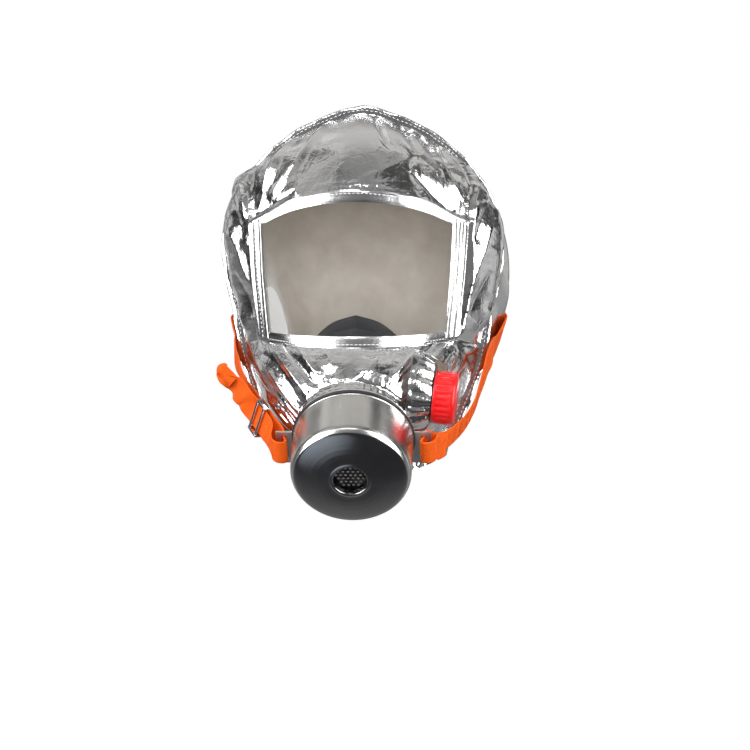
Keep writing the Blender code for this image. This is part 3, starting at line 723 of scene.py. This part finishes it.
def seam_frame(u):
    """A point of the ear-to-ear seam with its outward direction."""
    out = np.cross((0, 1, 0), unit(whole_seam(min(u + 0.01, 1)) - whole_seam(max(u - 0.01, 0))))
    out *= -1 if out @ (whole_seam(u) - (0, SEAM_Y, 120)) < 0 else 1
    return whole_seam(u), out


def build_seam():
    """The seam allowance: two layers of film folded over and sewn, standing out from the surface."""
    crest = 5.7
    half_section = [(-1.1, -0.8), (-1.15, 2.5), (-1.0, 5.0), (-0.4, crest)]
    section = half_section + [(-depth, tall) for depth, tall in half_section[::-1]]
    sections = []
    for u in np.linspace(0.002, 0.998, 420):
        place, out = seam_frame(u)
        wave = 0.35 * math.sin(u * 190) + 0.3 * math.sin(u * 77 + 1)
        height = 1 + 0.05 * math.sin(u * 143)
        sections.append([
            place + out * tall * height + np.array([0, depth + wave * max(tall, 0) / crest, 0])
            for depth, tall in section
        ])
    made = tubes("crown_seam_fold", [np.array(sections).swapaxes(0, 1)])
    finish(made, [FILM], ["crown_seam"], "root", 50)


def build_window():
    """The clear film, and the folded hems and bindings that stand a little above the panels round it."""
    across = (0.005, 0.995)
    for name, node, us, vs, columns, rows, raised, seed, ridges in (
        ("top_hem_fold", "visor_top_hem", across, (1 - HEM_SHARE, 1.012), 150, 10, 0.6, 51, 0.0),
        ("bottom_hem_fold", "visor_bottom_hem", across, (-0.012, HEM_SHARE), 150, 10, 0.6, 52, 0.0),
        ("left_binding", "visor_left_binding", (1 - BINDING_SHARE, 1.006), (0, 1), 40, 90, 0.9, 53, 0.42),
        ("right_binding", "visor_right_binding", (-0.006, BINDING_SHARE), (0, 1), 30, 90, 0.9, 54, 0.12),
    ):
        points, _, _ = sample(WINDOW, columns, rows, us, vs)
        fade = edge_fade(points.shape, 2)
        rise = raised * fade + creases(points[..., [0, 2]], (9, seed, 90, 1.8, 0.05)) * fade
        rise = rise + ridges * fade * np.sin(np.linspace(0, 4.6 * math.pi, columns))
        made = film_piece(name, points, rise, thickness=0.9, materials=(FILM_SMOOTH, LINING))
        finish(made, [], [node], "root", 60)
    side, low = BINDING_SHARE - 0.02, HEM_SHARE - 0.03
    points, _, _ = sample(WINDOW, 90, 60, (side, 1 - side), (low, 1 - low))
    made = film_piece("visor_film", points, -1.6, thickness=0.3, materials=(CLEAR, CLEAR))
    finish(made, [], ["visor_window"], "root", 0)


def stitch_row(name, line, outward, spacing, radius, slant=0.0):
    """Stitches along a curve of 0..1: short rounded threads that dip into the film at each end."""
    length = 2.4
    dense = np.array([(*line(t), *outward(t)) for t in np.linspace(0, 1, 400)])
    at = np.concatenate([[0], np.cumsum(np.linalg.norm(np.diff(dense[:, :3], axis=0), axis=1))])

    def place_at(travelled):
        return np.array([np.interp(travelled, at, column) for column in dense.T])

    threads = []
    for n in range(int(at[-1] / spacing)):
        middle = (n + 0.5) * spacing
        centre, out = np.split(place_at(middle), 2)
        out = unit(out)
        along = unit((place_at(middle + 1) - place_at(middle - 1))[:3])
        across = np.cross(along, out)
        along = unit(along + across * slant * (1 if n % 2 else -1))
        rings = []
        for s in np.linspace(-1, 1, 7):
            thick = radius * math.sqrt(max(1 - abs(s) ** 3, 0.02))
            spine = centre + along * s * length / 2 + out * radius * (0.9 * (1 - s * s) - 0.25)
            rings.append(circle(spine, across, out, thick, 6))
        threads.append(np.array(rings).swapaxes(0, 1))
    finish(tubes(name, threads), [THREAD], (), "root", 0)


def surface_line(surface, start, end, rise):
    """A line on a surface between two (u, v) places, raised along its outward normal."""
    start, end = np.array(start), np.array(end)

    def outward(t):
        u, v = start + (end - start) * t
        du = surface(u + 0.004, v) - surface(u - 0.004, v)
        dv = surface(u, v + 0.004) - surface(u, v - 0.004)
        out = unit(np.cross(du, dv))
        return out if out @ (surface(u, v) - INSIDE) > 0 else -out

    def line(t):
        return surface(*(start + (end - start) * t)) + outward(t) * rise

    return line, outward


def build_stitches():
    """Stitches along the window's hems and bindings, and on both sides of the crown seam."""
    side = BINDING_SHARE
    for name, start, end, rise in (
        ("top_hem_stitches", (side, 0.985), (1 - side, 0.985), 0.75),
        ("bottom_hem_stitches", (side, HEM_SHARE * 0.25), (1 - side, HEM_SHARE * 0.25), 0.75),
        ("left_binding_stitches", (1 - side * 0.45, 0.02), (1 - side * 0.45, 0.98), 0.95),
        ("right_binding_stitches", (side * 0.45, 0.02), (side * 0.45, 0.98), 0.95),
    ):
        stitch_row(name, *surface_line(WINDOW, start, end, rise), 3.1, 0.30, slant=0.1)
    for name, facing in (("crown_stitches_front", -1.0), ("crown_stitches_rear", 1.0)):
        outward = np.array([0, facing, 0])

        def line(t, outward=outward):
            place, out = seam_frame(0.01 + 0.98 * t)
            return place + out * 2.4 + outward * 1.2

        stitch_row(name, line, lambda t, outward=outward: outward, 3.4, 0.26)


# The lower face and the neck

def lower_outline(t):
    if t < 0.12:
        return FRAME_BOTTOM(0.5 + 0.5 * t / 0.12)
    if t < 0.22:
        return SIDE_BOTTOM((t - 0.12) / 0.10)
    if t < 0.36:
        return SEAM(SEAM_AT_SIDE * (0.36 - t) / 0.14)
    return HEM_FRONT(0.5 * (t - 0.36) / 0.14)


def ring_to_edge(ring, turns, edge, pulls):
    """A surface of ribs from a ring (radius, height) behind the canister to an edge curve, the same on
    both sides. turns pairs the edge's places with degrees round the ring, and pulls says how far the
    middle of the rib at each place is moved."""
    def half(t, v):
        start = canister_point(math.radians(np.interp(t, *turns)), *ring)
        end = edge(t)
        pull = np.array([np.interp(t, list(pulls), column) for column in zip(*pulls.values())])
        return (1 - v) ** 2 * start + 2 * v * (1 - v) * ((start + end) / 2 + pull) + v * v * end

    return lambda u, v: half(u, v) if u <= 0.5 else half(1 - u, v) * (-1, 1, 1)


def valve_axes():
    z = Vector(CAP_AXIS).normalized()
    x = Vector((0, 0, 1)).cross(z).normalized()
    return np.array(x), np.array(z.cross(x)), np.array(z)


VALVE_AXES = valve_axes()


def tent_radius(angle):
    return 1 + 0.42 * np.maximum(0, np.cos(angle)) ** 6 - 0.05 * np.cos(angle)


def build_lower_face():
    """The lower face panel: pleated at the canister's clamp, with the exhalation valve's opening."""
    turns = ([0, 0.12, 0.22, 0.36, 0.5], [0, 60, 95, 135, 180])
    lower = ring_to_edge((40.5, -14.5), turns, lower_outline, {
        0: (0, -3, 3), 0.12: (4, -12, 4), 0.22: (6, -46, 0),
        0.3: (8, -44, -8), 0.36: (6, -30, -14), 0.5: (0, -4, -12),
    })
    points, u, v = sample(in_front_of_seam(lower, 0.4), 460, 84, (0, 1), (-0.03, 1), joined=True)
    angle = 2 * np.pi * u
    pleats = np.abs(np.sin(angle * 21 + 0.9 * np.sin(angle * 5))) * 2 - 1
    beside = 0.25 + 0.75 * np.abs(np.sin(angle)) ** 1.5
    rise = 0.50 * beside * pleats * (1 - smoothstep(v, 0.0, 0.42)) * smoothstep(v, -0.02, 0.1)
    below = smoothstep(-points[..., 2], -66, -40)
    crumple = creases(
        np.stack([angle * 45, v * 70], -1),
        (20, 61, 90, 2.2, 0.30 + 0.20 * below),
        (9, 62, 90, 2.0, 0.22 + 0.20 * below),
        (4.5, 63, 90, 1.6, 0.08 + 0.12 * below),
    )
    rise = rise + crumple * smoothstep(np.minimum(u, 1 - u), 0.0, 0.02)
    rise = folded(rise, points, [
        ((36, 40), (66, 78), 4.5, 3.6), ((30, 46), (58, 80), 3.0, -2.6), ((-34, 42), (-64, 78), 4.5, 3.6),
        ((-28, 46), (-54, 78), 3.0, -2.6), ((40, 30), (72, 72), 4, 2.8), ((-40, 28), (-72, 70), 4, 2.8),
        ((-44, 20), (-78, 56), 4, -2.6), ((24, 48), (50, 78), 3, 1.6), ((-22, 50), (-46, 78), 3, 1.6),
        ((12, 56), (20, 74), 4, 0.8), ((-12, 56), (-22, 74), 4, 0.8), ((70, 78), (66, 58), 4, 2.2),
        ((76, 74), (84, 54), 4, -2.0),
    ])
    rise = rise * edge_fade(rise.shape, 5, "bt") + 0.15
    made = panel("lower_face_film", points, rise, "lower_face_panel", joined=True)
    sleeve = valve_sleeve(made)
    valve_opening(made, 23, -17, 34, 64, tent_radius)
    valve_opening(made, 15, -30, 0, 64)
    with bpy.context.temp_override(active_object=made, selected_editable_objects=[made, sleeve]):
        bpy.ops.object.join()
    return made


def valve_sleeve(film):
    """The film gathered round the exhalation valve's body, drawn up to a point above it."""
    x, y, z = VALVE_AXES
    tree = ray_tree(film.data)
    base_radius, front_radius, front = 23.6, 18.4, -10.8
    lowest, highest = -26.0, -13.0
    count = 72
    base = []
    for angle in 2 * math.pi * np.arange(count) / count:
        side = (x * math.sin(angle) + y * math.cos(angle)) * base_radius * tent_radius(angle)
        hit = tree.ray_cast(Vector((CAP_CENTRE + side + z * 40) * MM), Vector(-z))[0]
        height = (np.array(hit) / MM - CAP_CENTRE) @ z if hit else lowest
        base.append(float(np.clip(height, lowest, highest)))
    base = sum(np.roll(base, shift) for shift in (-2, -1, 0, 1, 2)) / 5

    def surface(u, v):
        angle = 2 * math.pi * u
        start = np.interp(u, np.linspace(0, 1, count + 1), np.append(base, base[0])) - 1.0
        radius = (base_radius + (front_radius - base_radius) * v**1.4) * tent_radius(angle)
        place = CAP_CENTRE + z * (start + (front - start) * v)
        return place + (x * math.sin(angle) + y * math.cos(angle)) * radius

    points, u, v = sample(surface, 200, 30, joined=True)
    angle = 2 * np.pi * u
    rise = 0.7 * np.sin(angle * 11 + 2 * np.sin(angle * 3))
    rise = rise + creases(np.stack([angle * 20, v * 18], -1), (9, 65, 90, 2.0, 0.8))
    rise = rise * smoothstep(v, 0.0, 0.3)
    return film_piece("valve_sleeve", points, rise, joined=True, outward_from=CAP_CENTRE)


def valve_opening(obj, radius, low, high, steps, shape=None):
    """Cuts through an object along the exhalation valve's axis; shape(angle) scales the radius."""
    x, y, z = VALVE_AXES
    if shape:
        radius = radius * shape(2 * math.pi * np.arange(steps) / steps)
    ends = [circle(CAP_CENTRE + z * height, y, x, radius, steps) for height in (low, high)]
    subtract(obj, [np.stack(ends, axis=1)])


def hem_loop(t):
    t = t % 1.0
    return HEM_FRONT(2 * t) if t < 0.5 else HEM_REAR(2 - 2 * t)


def build_neck():
    """The neck hem: film gathered on its elastic, folded and crumpled."""
    def band(u, v):
        return hem_loop(u) * (1 - 0.03 * v, 1 - 0.03 * v, 1) - (0, 0, v * NECK_BAND_HEIGHT)

    points, u, v = sample(band, 460, 26, (0, 1), (-0.06, 1.0), joined=True)
    angle = 2 * np.pi * u
    gathers = np.sin(angle * 34 + 1.5 * np.sin(angle * 7)) + 0.5 * np.sin(angle * 61 + 2)
    rise = gathers * 1.1 * np.sin(np.clip(v, 0, 1) * math.pi) ** 0.6
    flat = np.stack([angle * 60, points[..., 2]], -1)
    rise = rise + creases(flat, (8, 71, 90, 1.8, 0.4), (4, 72, 90, 1.8, 0.2))
    rise = rise * edge_fade(rise.shape, 3, "b") * 0.9
    return panel("neck_hem_film", points, rise, "neck_band", joined=True, outward_from=(0, 5, 10))


# Turned pieces

def turned(name, profile, steps, ripple=None, centre=CANISTER_CENTRE, axes=CANISTER_AXES):
    """A closed profile of (radius, height) turned about an axis. ripple(angle, radius, height)
    gives a point's new radius."""
    x, y, z = axes
    turns = 2 * math.pi * np.arange(steps) / steps
    points = []
    for r, h in profile:
        radius = [ripple(turn, r, h) for turn in turns] if ripple else r
        points.append(circle(centre + z * h, x, y, radius, steps))
    made = object_from(name, points, grid_faces(len(profile), steps, joined=True))
    edit(made, lambda bm: bmesh.ops.remove_doubles(bm, verts=bm.verts, dist=1e-7))
    edit(made, recalculate)
    return made


def rounded(profile, radius, steps=3):
    """The profile with its corners rounded; the first and last points stay."""
    p = [np.array(q, float) for q in profile]
    out = [p[0]]
    for a, b, c in zip(p, p[1:], p[2:]):
        before, after = a - b, c - b
        r = min(radius, np.linalg.norm(before) / 2.2, np.linalg.norm(after) / 2.2)
        start, end = b + unit(before) * r, b + unit(after) * r
        for t in np.linspace(0, 1, steps + 1):
            out.append((1 - t) ** 2 * start + 2 * t * (1 - t) * b + t * t * end)
    return out + [p[-1]]


def build_canister():
    """The filter canister's body: a turned shell with a domed front, a rolled inlet lip and a rear bead."""
    r = CANISTER_RADIUS
    lip = INLET_RADIUS
    front_edge = 40.8
    outer = [
        (lip, 41.2), (lip, 45.4), (lip + 0.7, 46), (lip + 1.9, 45.9), (lip + 3.0, 45.5), (20, 45.3),
        (24, 44.9), (28, 44.3), (32, 43.5), (35, 42.8), (37.5, 42.1), (39.4, 41.4), (40.6, 40.6),
        (42.2, 38.4),
        (r - 0.1, 36.0), (r, 34), (r, 24), (r, 12), (r, 2.4), (r - 0.35, 1.9), (r - 0.3, 1.2), (r, 0.8),
        (r, 0.1), (r - 1, 0.0), (r - 1, 36.3), (41.2, 38), (39.8, 39.4), (37, 40.4), (31.7, 42.0),
        (23.8, 43.6), (lip + 3, 44.4), (lip + 1.2, 44.0), (lip + 1.2, 41.2), (lip, 41.2),
    ]
    shell = turned("canister_body", rounded(outer, 0.7), 160)
    finish(shell, [STEEL_SIDE, STEEL_FRONT_PAINTED_DARK], ["canister_shell"], "canister", 40)
    # Faces ahead of the front edge get the darker steel, whose colour is painted shade
    for face in shell.data.polygons:
        height = (np.array(face.center) / MM - CANISTER_CENTRE) @ FORWARD
        face.material_index = 1 if height > front_edge else 0
    build_screen()


def build_screen():
    """The perforated plate behind the inlet: 37 round holes in a hexagonal pattern."""
    plate = [(0, 39.5), (17.7, 39.5), (17.9, 39.3), (17.9, 38.7), (17.7, 38.5), (0, 38.5)]
    made = turned("inlet_plate", plate, 48)
    pitch, hole_radius = 3.5, 1.15
    across, up, forward = CANISTER_AXES
    holes = []
    for row in range(-3, 4):
        for i in range(7 - abs(row)):
            x, y = (i - (6 - abs(row)) / 2) * pitch, row * pitch * math.sqrt(3) / 2
            centre = CANISTER_CENTRE + across * x + up * y
            ends = [circle(centre + forward * height, across, up, hole_radius, 14) for height in (37.5, 40.5)]
            holes.append(np.stack(ends, axis=1))
    subtract(made, holes)
    finish(made, [SCREEN], ["inlet_screen"], "canister", 40)


def build_ring_stack():
    """The gathered clamp band and the gasket, behind the canister."""
    outer_face = 38

    def gathered(angle, radius, _):
        wave = math.sin(angle * 47 + 1.2 * math.sin(angle * 9)) + 0.5 * math.sin(angle * 83)
        return radius + (0.28 * wave if radius > outer_face else 0)

    band = [(28, -8), (24.4, -8), (24.4, -5.3), (30, -5.2), (41.3, -5.2), (41.8, -6), (41.9, -8), (41.7, -10),
            (42.0, -12), (41.6, -13.8), (40.6, -14.2), (40.2, -13.6), (40.2, -8), (28, -8)]
    clamp = turned("clamp_band", rounded(band, 0.5, 2), 240, gathered)
    finish(clamp, [FILM], ["clamp_ring"], "root", 50)
    seal = [(36, -3), (36, -0.4), (43.2, -0.4), (43.8, -0.9), (44.0, -1.7), (43.8, -2.5), (43.2, -3),
            (36, -3)]
    gasket = turned("gasket_ring", rounded(seal, 0.4, 2), 128)
    finish(gasket, [RUBBER], ["canister_gasket"], "canister_seal", 40)


def build_cap():
    """The exhalation valve's cap, with soft ribs round its side for the fingers."""
    r = CAP_RADIUS
    rib_count, rib_depth = 26, 0.75
    rib_low, rib_high = -7.5, 3.4

    def ribs(angle, radius, height):
        if radius < r - 1.0 or not rib_low < height < rib_high:
            return radius
        fade = smoothstep(height, rib_low, -6.0) * (1 - smoothstep(height, 1.6, rib_high))
        return radius - rib_depth * fade * (0.5 - 0.5 * math.cos(angle * rib_count)) ** 1.6

    side = [(r, h) for h in (3.3, 2.4, 1.2, 0, -2, -4, -6, -7.4)]
    profile = [
        (0, 6.2), (6, 6.25), (6.6, 6.9), (r - 5, 6.95), (r - 3.0, 7.0), (r - 1.3, 6.7), (r - 0.35, 5.9),
        (r, 4.6),
        *side, (r, -8.6), (r - 0.3, -9.3), (r - 1.4, -9.4), (r - 1.6, -8.6), (r - 1.6, 4.4), (0, 4.9),
    ]
    cap = turned("valve_cap", profile, 260, ribs, CAP_CENTRE, VALVE_AXES)
    finish(cap, [RED], ["exhalation_valve_cap"], "exhalation_cap", 45)


def build_mask():
    """The rubber cup over nose and mouth, with a bead round its rim and another further in."""
    seal = spline([
        (0, -97, 96), (16, -92, 91), (30, -82, 79), (43, -71, 55), (47, -65, 32), (37, -61, 13), (0, -66, 5),
    ])
    cup = ring_to_edge((25.1, -21.4), ([0, 0.5], [0, 180]), lambda t: seal(2 * t), {
        0: (0, -10, 6), 0.15: (8, -14, 4), 0.28: (20, -24, 0), 0.4: (10, -14, -6), 0.5: (0, -6, -6),
    })
    points, _, v = sample(cup, 150, 44, joined=True)
    beads = 0.9 * np.exp(-(((v - 0.975) / 0.02) ** 2)) + 0.5 * np.exp(-(((v - 0.80) / 0.02) ** 2))
    made = film_piece("nose_cup", points, beads + 1.0, True, (0, -60, 40), 2.2, (RUBBER, RUBBER))
    valve_opening(made, 14.4, -34, 0, 48)
    finish(made, [], ["half_mask"], "root", 50)


# The strap

EAR_DROP = -10.0
BUCKLE_START = np.array([-60.0, -103.0, 15.0])
BUCKLE_END = np.array([-73.0, -84.0, 31.0])
LAYER_STEP = 3.7
CURL_DEPTH = -3.0


def buckle_axes():
    along = unit(BUCKLE_END - BUCKLE_START)
    width = unit(np.array([0, 0, 1.0]) - along[2] * along)
    return along, width, np.cross(width, along)


def ear_fold(side):
    """Out through the ear's slot, gathered inwards over its plate, then back round its outer bar."""
    steps = [(50, -9), (49.8, -4.2), (48.4, -1.4), (47.9, 0.8), (50.4, 2.4), (54.6, 1.9), (57.8, -0.8),
             (59.3, -6)]
    ear = CANISTER_CENTRE + CANISTER_UP * EAR_DROP
    return [(*(ear + FORWARD * height + np.array([side * out, 0, 0])), *CANISTER_UP) for out, height in steps]


def round_the_head():
    """The strap's route over the rear panel, found by rays towards the middle of the head."""
    tree = ray_tree(NODES["rear_panel"].data)
    side_steps, step_degrees = 9, 9.2
    middle_height, drop, proud = 112, 36, 1.6
    route = []
    for i in range(-side_steps, side_steps + 1):
        turn = math.radians(i * step_degrees)
        height = middle_height - drop * (abs(i) / side_steps) ** 2
        direction = Vector((-math.sin(turn), math.cos(turn), 0))
        hit, normal, _, _ = tree.ray_cast(Vector((0, 15, height)) * MM + direction * 0.3, -direction)
        width = Vector((-math.cos(turn), -math.sin(turn), 0.0)).cross(normal).normalized()
        width *= -1 if width.z < 0 else 1
        route.append((*(hit / MM + normal * (STRAP_THICKNESS / 2 + proud)), *width))
    return route


def free_tail(out):
    """The strap's free end: wavy, with its end folded back on itself."""
    start, tip = np.array([-79.5, -89.0, 36.5]), np.array([-97.0, -84.0, 59.0])
    flat_width = np.array([0.42, -0.70, 0.55])
    along = unit(tip - start)
    route = []
    for t in np.linspace(0, 1, 10):
        wave = 1.7 * math.sin(t * 3.4 * math.pi) * t**0.5
        width = flat_width + 0.22 * math.sin(t * 2.7 * math.pi) * np.array([0.6, 0.5, -0.4])
        route.append((*(start + (tip - start) * t + out * wave), *width))
    for step, lift in ((1.6, 2.4), (-1.5, 4.6), (-6, 4.4), (-11, 3.4), (-15, 3.0)):
        route.append((*(tip + along * step + out * lift), *flat_width))
    return route


def strap_route():
    """The strap's points with their width directions, from its sewn end to its free end."""
    along, width, out = buckle_axes()
    sewn_end = [(65.2, -100.6, 4.6, 0.05, -0.55, 0.83), (61.6, -107.2, 2.6, 0.05, -0.6, 0.8)]
    left_side = [
        (57.6, -105.4, 3.5, 0.05, -0.6, 0.8), (67, -96, 9, 0.1, -0.7, 0.7), (77, -84, 19, 0.05, -0.85, 0.5),
        (83.5, -71, 31, 0, -0.95, 0.3), (87, -56, 43, 0, -0.97, 0.25), (89.5, -42, 53, 0, -0.9, 0.4),
        (91.5, -28, 62, 0, -0.65, 0.75), (94, -14, 69, 0, -0.35, 0.95),
    ]
    right_side = [
        (-94.2, -14, 71, 0, -0.3, 0.95), (-92, -28, 66, 0, -0.45, 0.9), (-88.5, -42, 60, 0, -0.6, 0.8),
        (-85, -56, 51, 0, -0.7, 0.7), (-79.5, -70, 41, 0.1, -0.65, 0.75),
    ]
    steps = range(0, 30, 5)
    inner = [(*(BUCKLE_END - along * step), *width) for step in steps]
    outer = [(*(BUCKLE_START + out * LAYER_STEP + along * step), *width) for step in steps]
    return (
        sewn_end + ear_fold(1)[::-1] + left_side + round_the_head()
        + right_side + inner + ear_fold(-1) + outer + free_tail(out)
    )


def build_strap():
    """Webbing with ribbed faces and thin edges, which is cupped along its free tail."""
    line = spline(strap_route(), by_point=True)
    columns, rows = 1500, 25
    places = np.array([line(t) for t in np.linspace(0, 1, columns)])
    centre, width = places[:, :3], places[:, 3:]
    along = np.gradient(centre, axis=0)
    along /= np.linalg.norm(along, axis=1, keepdims=True)
    width = width - along * (width * along).sum(1, keepdims=True)
    width /= np.linalg.norm(width, axis=1, keepdims=True)
    out = np.cross(along, width)
    travelled = np.concatenate([[0], np.cumsum(np.linalg.norm(np.diff(centre, axis=0), axis=1))])
    across = np.linspace(-0.5, 0.5, rows)
    side = across[:, None]
    edge = 1 - smoothstep(np.abs(side), 0.42, 0.5)
    curl = smoothstep(travelled, travelled[-1] - 40, travelled[-1] - 28)
    rib_pitch, rib_height = 2.6, 0.10
    every_other = np.arange(rows)[:, None] % 2
    weave = rib_height * np.sin(travelled * 2 * math.pi / rib_pitch + every_other * math.pi)
    half = (STRAP_THICKNESS / 2 - 0.22) * (0.55 + 0.45 * edge) + weave * edge
    ripple = 0.35 * np.sin(travelled / 9 + side * 5) * np.abs(side)
    cup = CURL_DEPTH * curl * (2 * side) ** 2
    layer = centre + width * (side * (STRAP_WIDTH - 0.6) * (1 - 0.28 * curl))[..., None]
    front, back = (layer + out * (face * half + ripple + cup)[..., None] for face in (1, -1))
    made = tubes("strap_webbing", [np.concatenate([front, back[::-1]])])
    uv = made.data.uv_layers.new(name="weave")
    us = np.concatenate([across, across[::-1]]) * STRAP_WIDTH / 10
    for loop in made.data.loops:
        row, column = divmod(loop.vertex_index, columns)
        uv.data[loop.index].uv = (us[row], travelled[column] / 10)
    finish(made, [WEBBING], ["head_strap"], "root", 0)


def rounded_box(bm, size, centre, axes):
    """Adds a box with rounded edges at a place along the given axes, all in millimetres."""
    made = bmesh.ops.create_cube(bm, size=1)["verts"]
    edges = list({edge for vert in made for edge in vert.link_edges})
    for vert in made:
        vert.co = Vector([vert.co[i] * size[i] for i in range(3)])
    result = bmesh.ops.bevel(bm, geom=edges, offset=min(size) * 0.3, segments=3, affect="EDGES", profile=0.5)
    for vert in result["verts"]:
        local = np.array(vert.co) + np.array(centre)
        vert.co = Vector(local @ np.array(axes))


def build_buckle():
    """A tri-glide slide: a middle bar under the webbing, two side pieces and two outer bars."""
    along, width, out = buckle_axes()
    middle = (BUCKLE_START + BUCKLE_END) / 2 + out * LAYER_STEP / 2
    half = STRAP_WIDTH / 2
    parts = [((2 * half + 5, 2.6, 1.4), (0, 0, 0))]
    for side in (-1, 1):
        parts.append(((2.0, 13, 5.6), (side * (half + 1.6), 0, 2.0)))
        parts.append(((2 * half + 4, 2.4, 1.2), (0, side * 5.0, 4.0)))
    bm = bmesh.new()
    for size, centre in parts:
        rounded_box(bm, size, centre, (width, along, out))
    for vert in bm.verts:
        vert.co = (vert.co + Vector(middle)) * MM
    recalculate(bm)
    mesh = bpy.data.meshes.new("strap_slide")
    bm.to_mesh(mesh)
    bm.free()
    finish(in_scene("strap_slide", mesh), [CHROME], ["strap_buckle"], "buckle", 40)


def repaint_nodes():
    """Gives each CAD node that stays in view inside a detailed material."""
    finishes = {
        "neck_elastic": RUBBER, "inhalation_valve_disc": RUBBER, "exhalation_valve_disc": RUBBER,
        "mask_connector": PLASTIC, "connector_nut": PLASTIC, "inhalation_valve_seat": PLASTIC,
        "exhalation_valve_seat": PLASTIC, "canister_rear_cover": PLASTIC, "strap_ring": PLATED,
        "dust_filter": PAPER, "filter_mesh": SCREEN, "desiccant_bed": SALT, "catalyst_bed": CATALYST,
        "rear_screen": SCREEN, "bed_spring": STEEL_SIDE,
    }
    for name, item in finishes.items():
        NODES[name].data.materials.clear()
        NODES[name].data.materials.append(item)


# Stage

def build_stage():
    """A wide pale floor that neither lights the object nor shows in its reflections."""
    bm = bmesh.new()
    bmesh.ops.create_circle(bm, cap_ends=True, segments=96, radius=60)
    mesh = bpy.data.meshes.new("floor")
    bm.to_mesh(mesh)
    bm.free()
    floor = in_scene("floor", mesh)
    floor.location.z = -0.42
    made, tree, shader, _ = new_material("floor")
    put(tree, shader, Base_Color=(0.93, 0.93, 0.93), Roughness=0.9, Emission_Color=(1, 1, 1),
        Emission_Strength=0.75)
    floor.data.materials.append(made)
    floor.visible_glossy = False
    floor.visible_diffuse = False


def area_light(name, place, size, power, glossy=True):
    """A softbox aimed at the middle of the hood, unseen by the camera."""
    data = bpy.data.lights.new(name, "AREA")
    data.shape = "RECTANGLE"
    data.size, data.size_y = size
    data.energy = power
    light = in_scene(name, data)
    light.location = place
    light.rotation_euler = (Vector((0, 0, 0.12)) - Vector(place)).to_track_quat("-Z", "Y").to_euler()
    light.visible_camera = False
    light.visible_glossy = glossy


def build_room(tree):
    """What the film reflects: a pale ceiling, dark and light walls with upright bars, and a low window."""
    place = add(tree, "TexCoord").outputs["Generated"]
    separate = add(tree, "SeparateXYZ", Vector=place)
    side, depth, height = (separate.outputs[axis] for axis in "XYZ")
    ceiling = ramp(tree, remap(tree, depth, -0.7, 0.7), [
        (0.0, (0.22, 0.22, 0.22)), (0.32, (0.24, 0.238, 0.232)), (0.50, (0.42, 0.413, 0.40)),
        (0.68, (0.52, 0.51, 0.49)), (1.0, (0.56, 0.55, 0.535)),
    ])
    walls = ramp(tree, remap(tree, depth, -1.0, 1.0), [
        (0.0, (0.15, 0.15, 0.152)), (0.30, (0.20, 0.20, 0.20)), (0.46, (0.035, 0.035, 0.038)),
        (0.62, (0.03, 0.03, 0.032)), (0.70, (0.58, 0.58, 0.58)), (1.0, (0.50, 0.495, 0.485)),
    ])
    white = (1, 1, 1)
    upright = noise(tree, stretched(tree, (4.2, 4.2, 1.3), "Generated"), 1.0, 1.0, 0.5)
    bars = blend(tree, remap(tree, depth, 0.0, 0.2), white, remap(tree, upright, 0.45, 0.53, 0.10, 1.15))
    walls = blend(tree, 1.0, walls, bars, "MULTIPLY")
    patches = remap(tree, noise(tree, place, 3.4, 1.5, 0.5), 0.44, 0.56, 0.18, 1.35)
    off_centre = remap(tree, calculate(tree, "ABSOLUTE", side), 0.16, 0.34)
    ceiling = blend(tree, 1.0, ceiling, blend(tree, off_centre, white, patches), "MULTIPLY")
    room = blend(tree, remap(tree, height, 0.35, 0.75), walls, ceiling)
    low = blend(tree, remap(tree, depth, -0.2, 0.6), (0.045, 0.045, 0.048), (0.30, 0.30, 0.30))
    room = blend(tree, remap(tree, height, -0.35, 0.0), low, room)
    towards = add(tree, "VectorMath", operation="DOT_PRODUCT", Vector=place)
    towards.inputs[1].default_value = Vector((-0.42, -0.62, -0.66)).normalized()
    return blend(tree, remap(tree, towards.outputs["Value"], 0.90, 0.99), room, (0.50, 0.55, 0.62))


def build_light():
    """The camera sees a white backdrop; everything else sees the room."""
    world = bpy.data.worlds.new("studio")
    world.use_nodes = True
    tree = world.node_tree
    seen = add(tree, "LightPath").outputs["Is Camera Ray"]
    put(tree, tree.nodes["Background"], Color=blend(tree, seen, build_room(tree), (1, 1, 1)))
    bpy.context.scene.world = world
    area_light("softbox_left", (-1.7, -1.25, 0.45), (1.7, 2.4), 62)
    area_light("softbox_right", (1.7, -1.15, 0.45), (1.6, 2.4), 58)
    area_light("softbox_top", (-0.15, -1.9, 2.0), (1.2, 0.3), 10)
    area_light("fill", (0.1, -3.0, 0.3), (1.0, 1.0), 46, glossy=False)


def build_camera():
    data = bpy.data.cameras.new("camera")
    data.lens = 234.7
    data.sensor_width = 36
    camera = in_scene("camera", data)
    turn = math.radians(3.4)
    distance = 3.6
    aim = Vector((0.008, 0, 0.054))
    camera.location = aim + Vector((math.sin(turn), -math.cos(turn), 0)) * distance
    camera.rotation_euler = (aim - camera.location).to_track_quat("-Z", "Y").to_euler()
    bpy.context.scene.camera = camera


bpy.context.scene.view_settings.view_transform = "Standard"
build_camera()
build_stage()
build_light()
repaint_nodes()
brow = build_brow()
left = build_side("left", 1, 21)
right = build_side("right", -1, 31)
rear = build_rear()
build_seam()
build_window()
build_stitches()
lower = build_lower_face()
neck = build_neck()
build_canister()
build_ring_stack()
build_cap()
build_mask()
build_strap()
build_buckle()
for piece in (brow, left, right):
    declare_film(piece)
declare_film(rear)
declare_film(lower)
declare_film(neck, width=0.46)
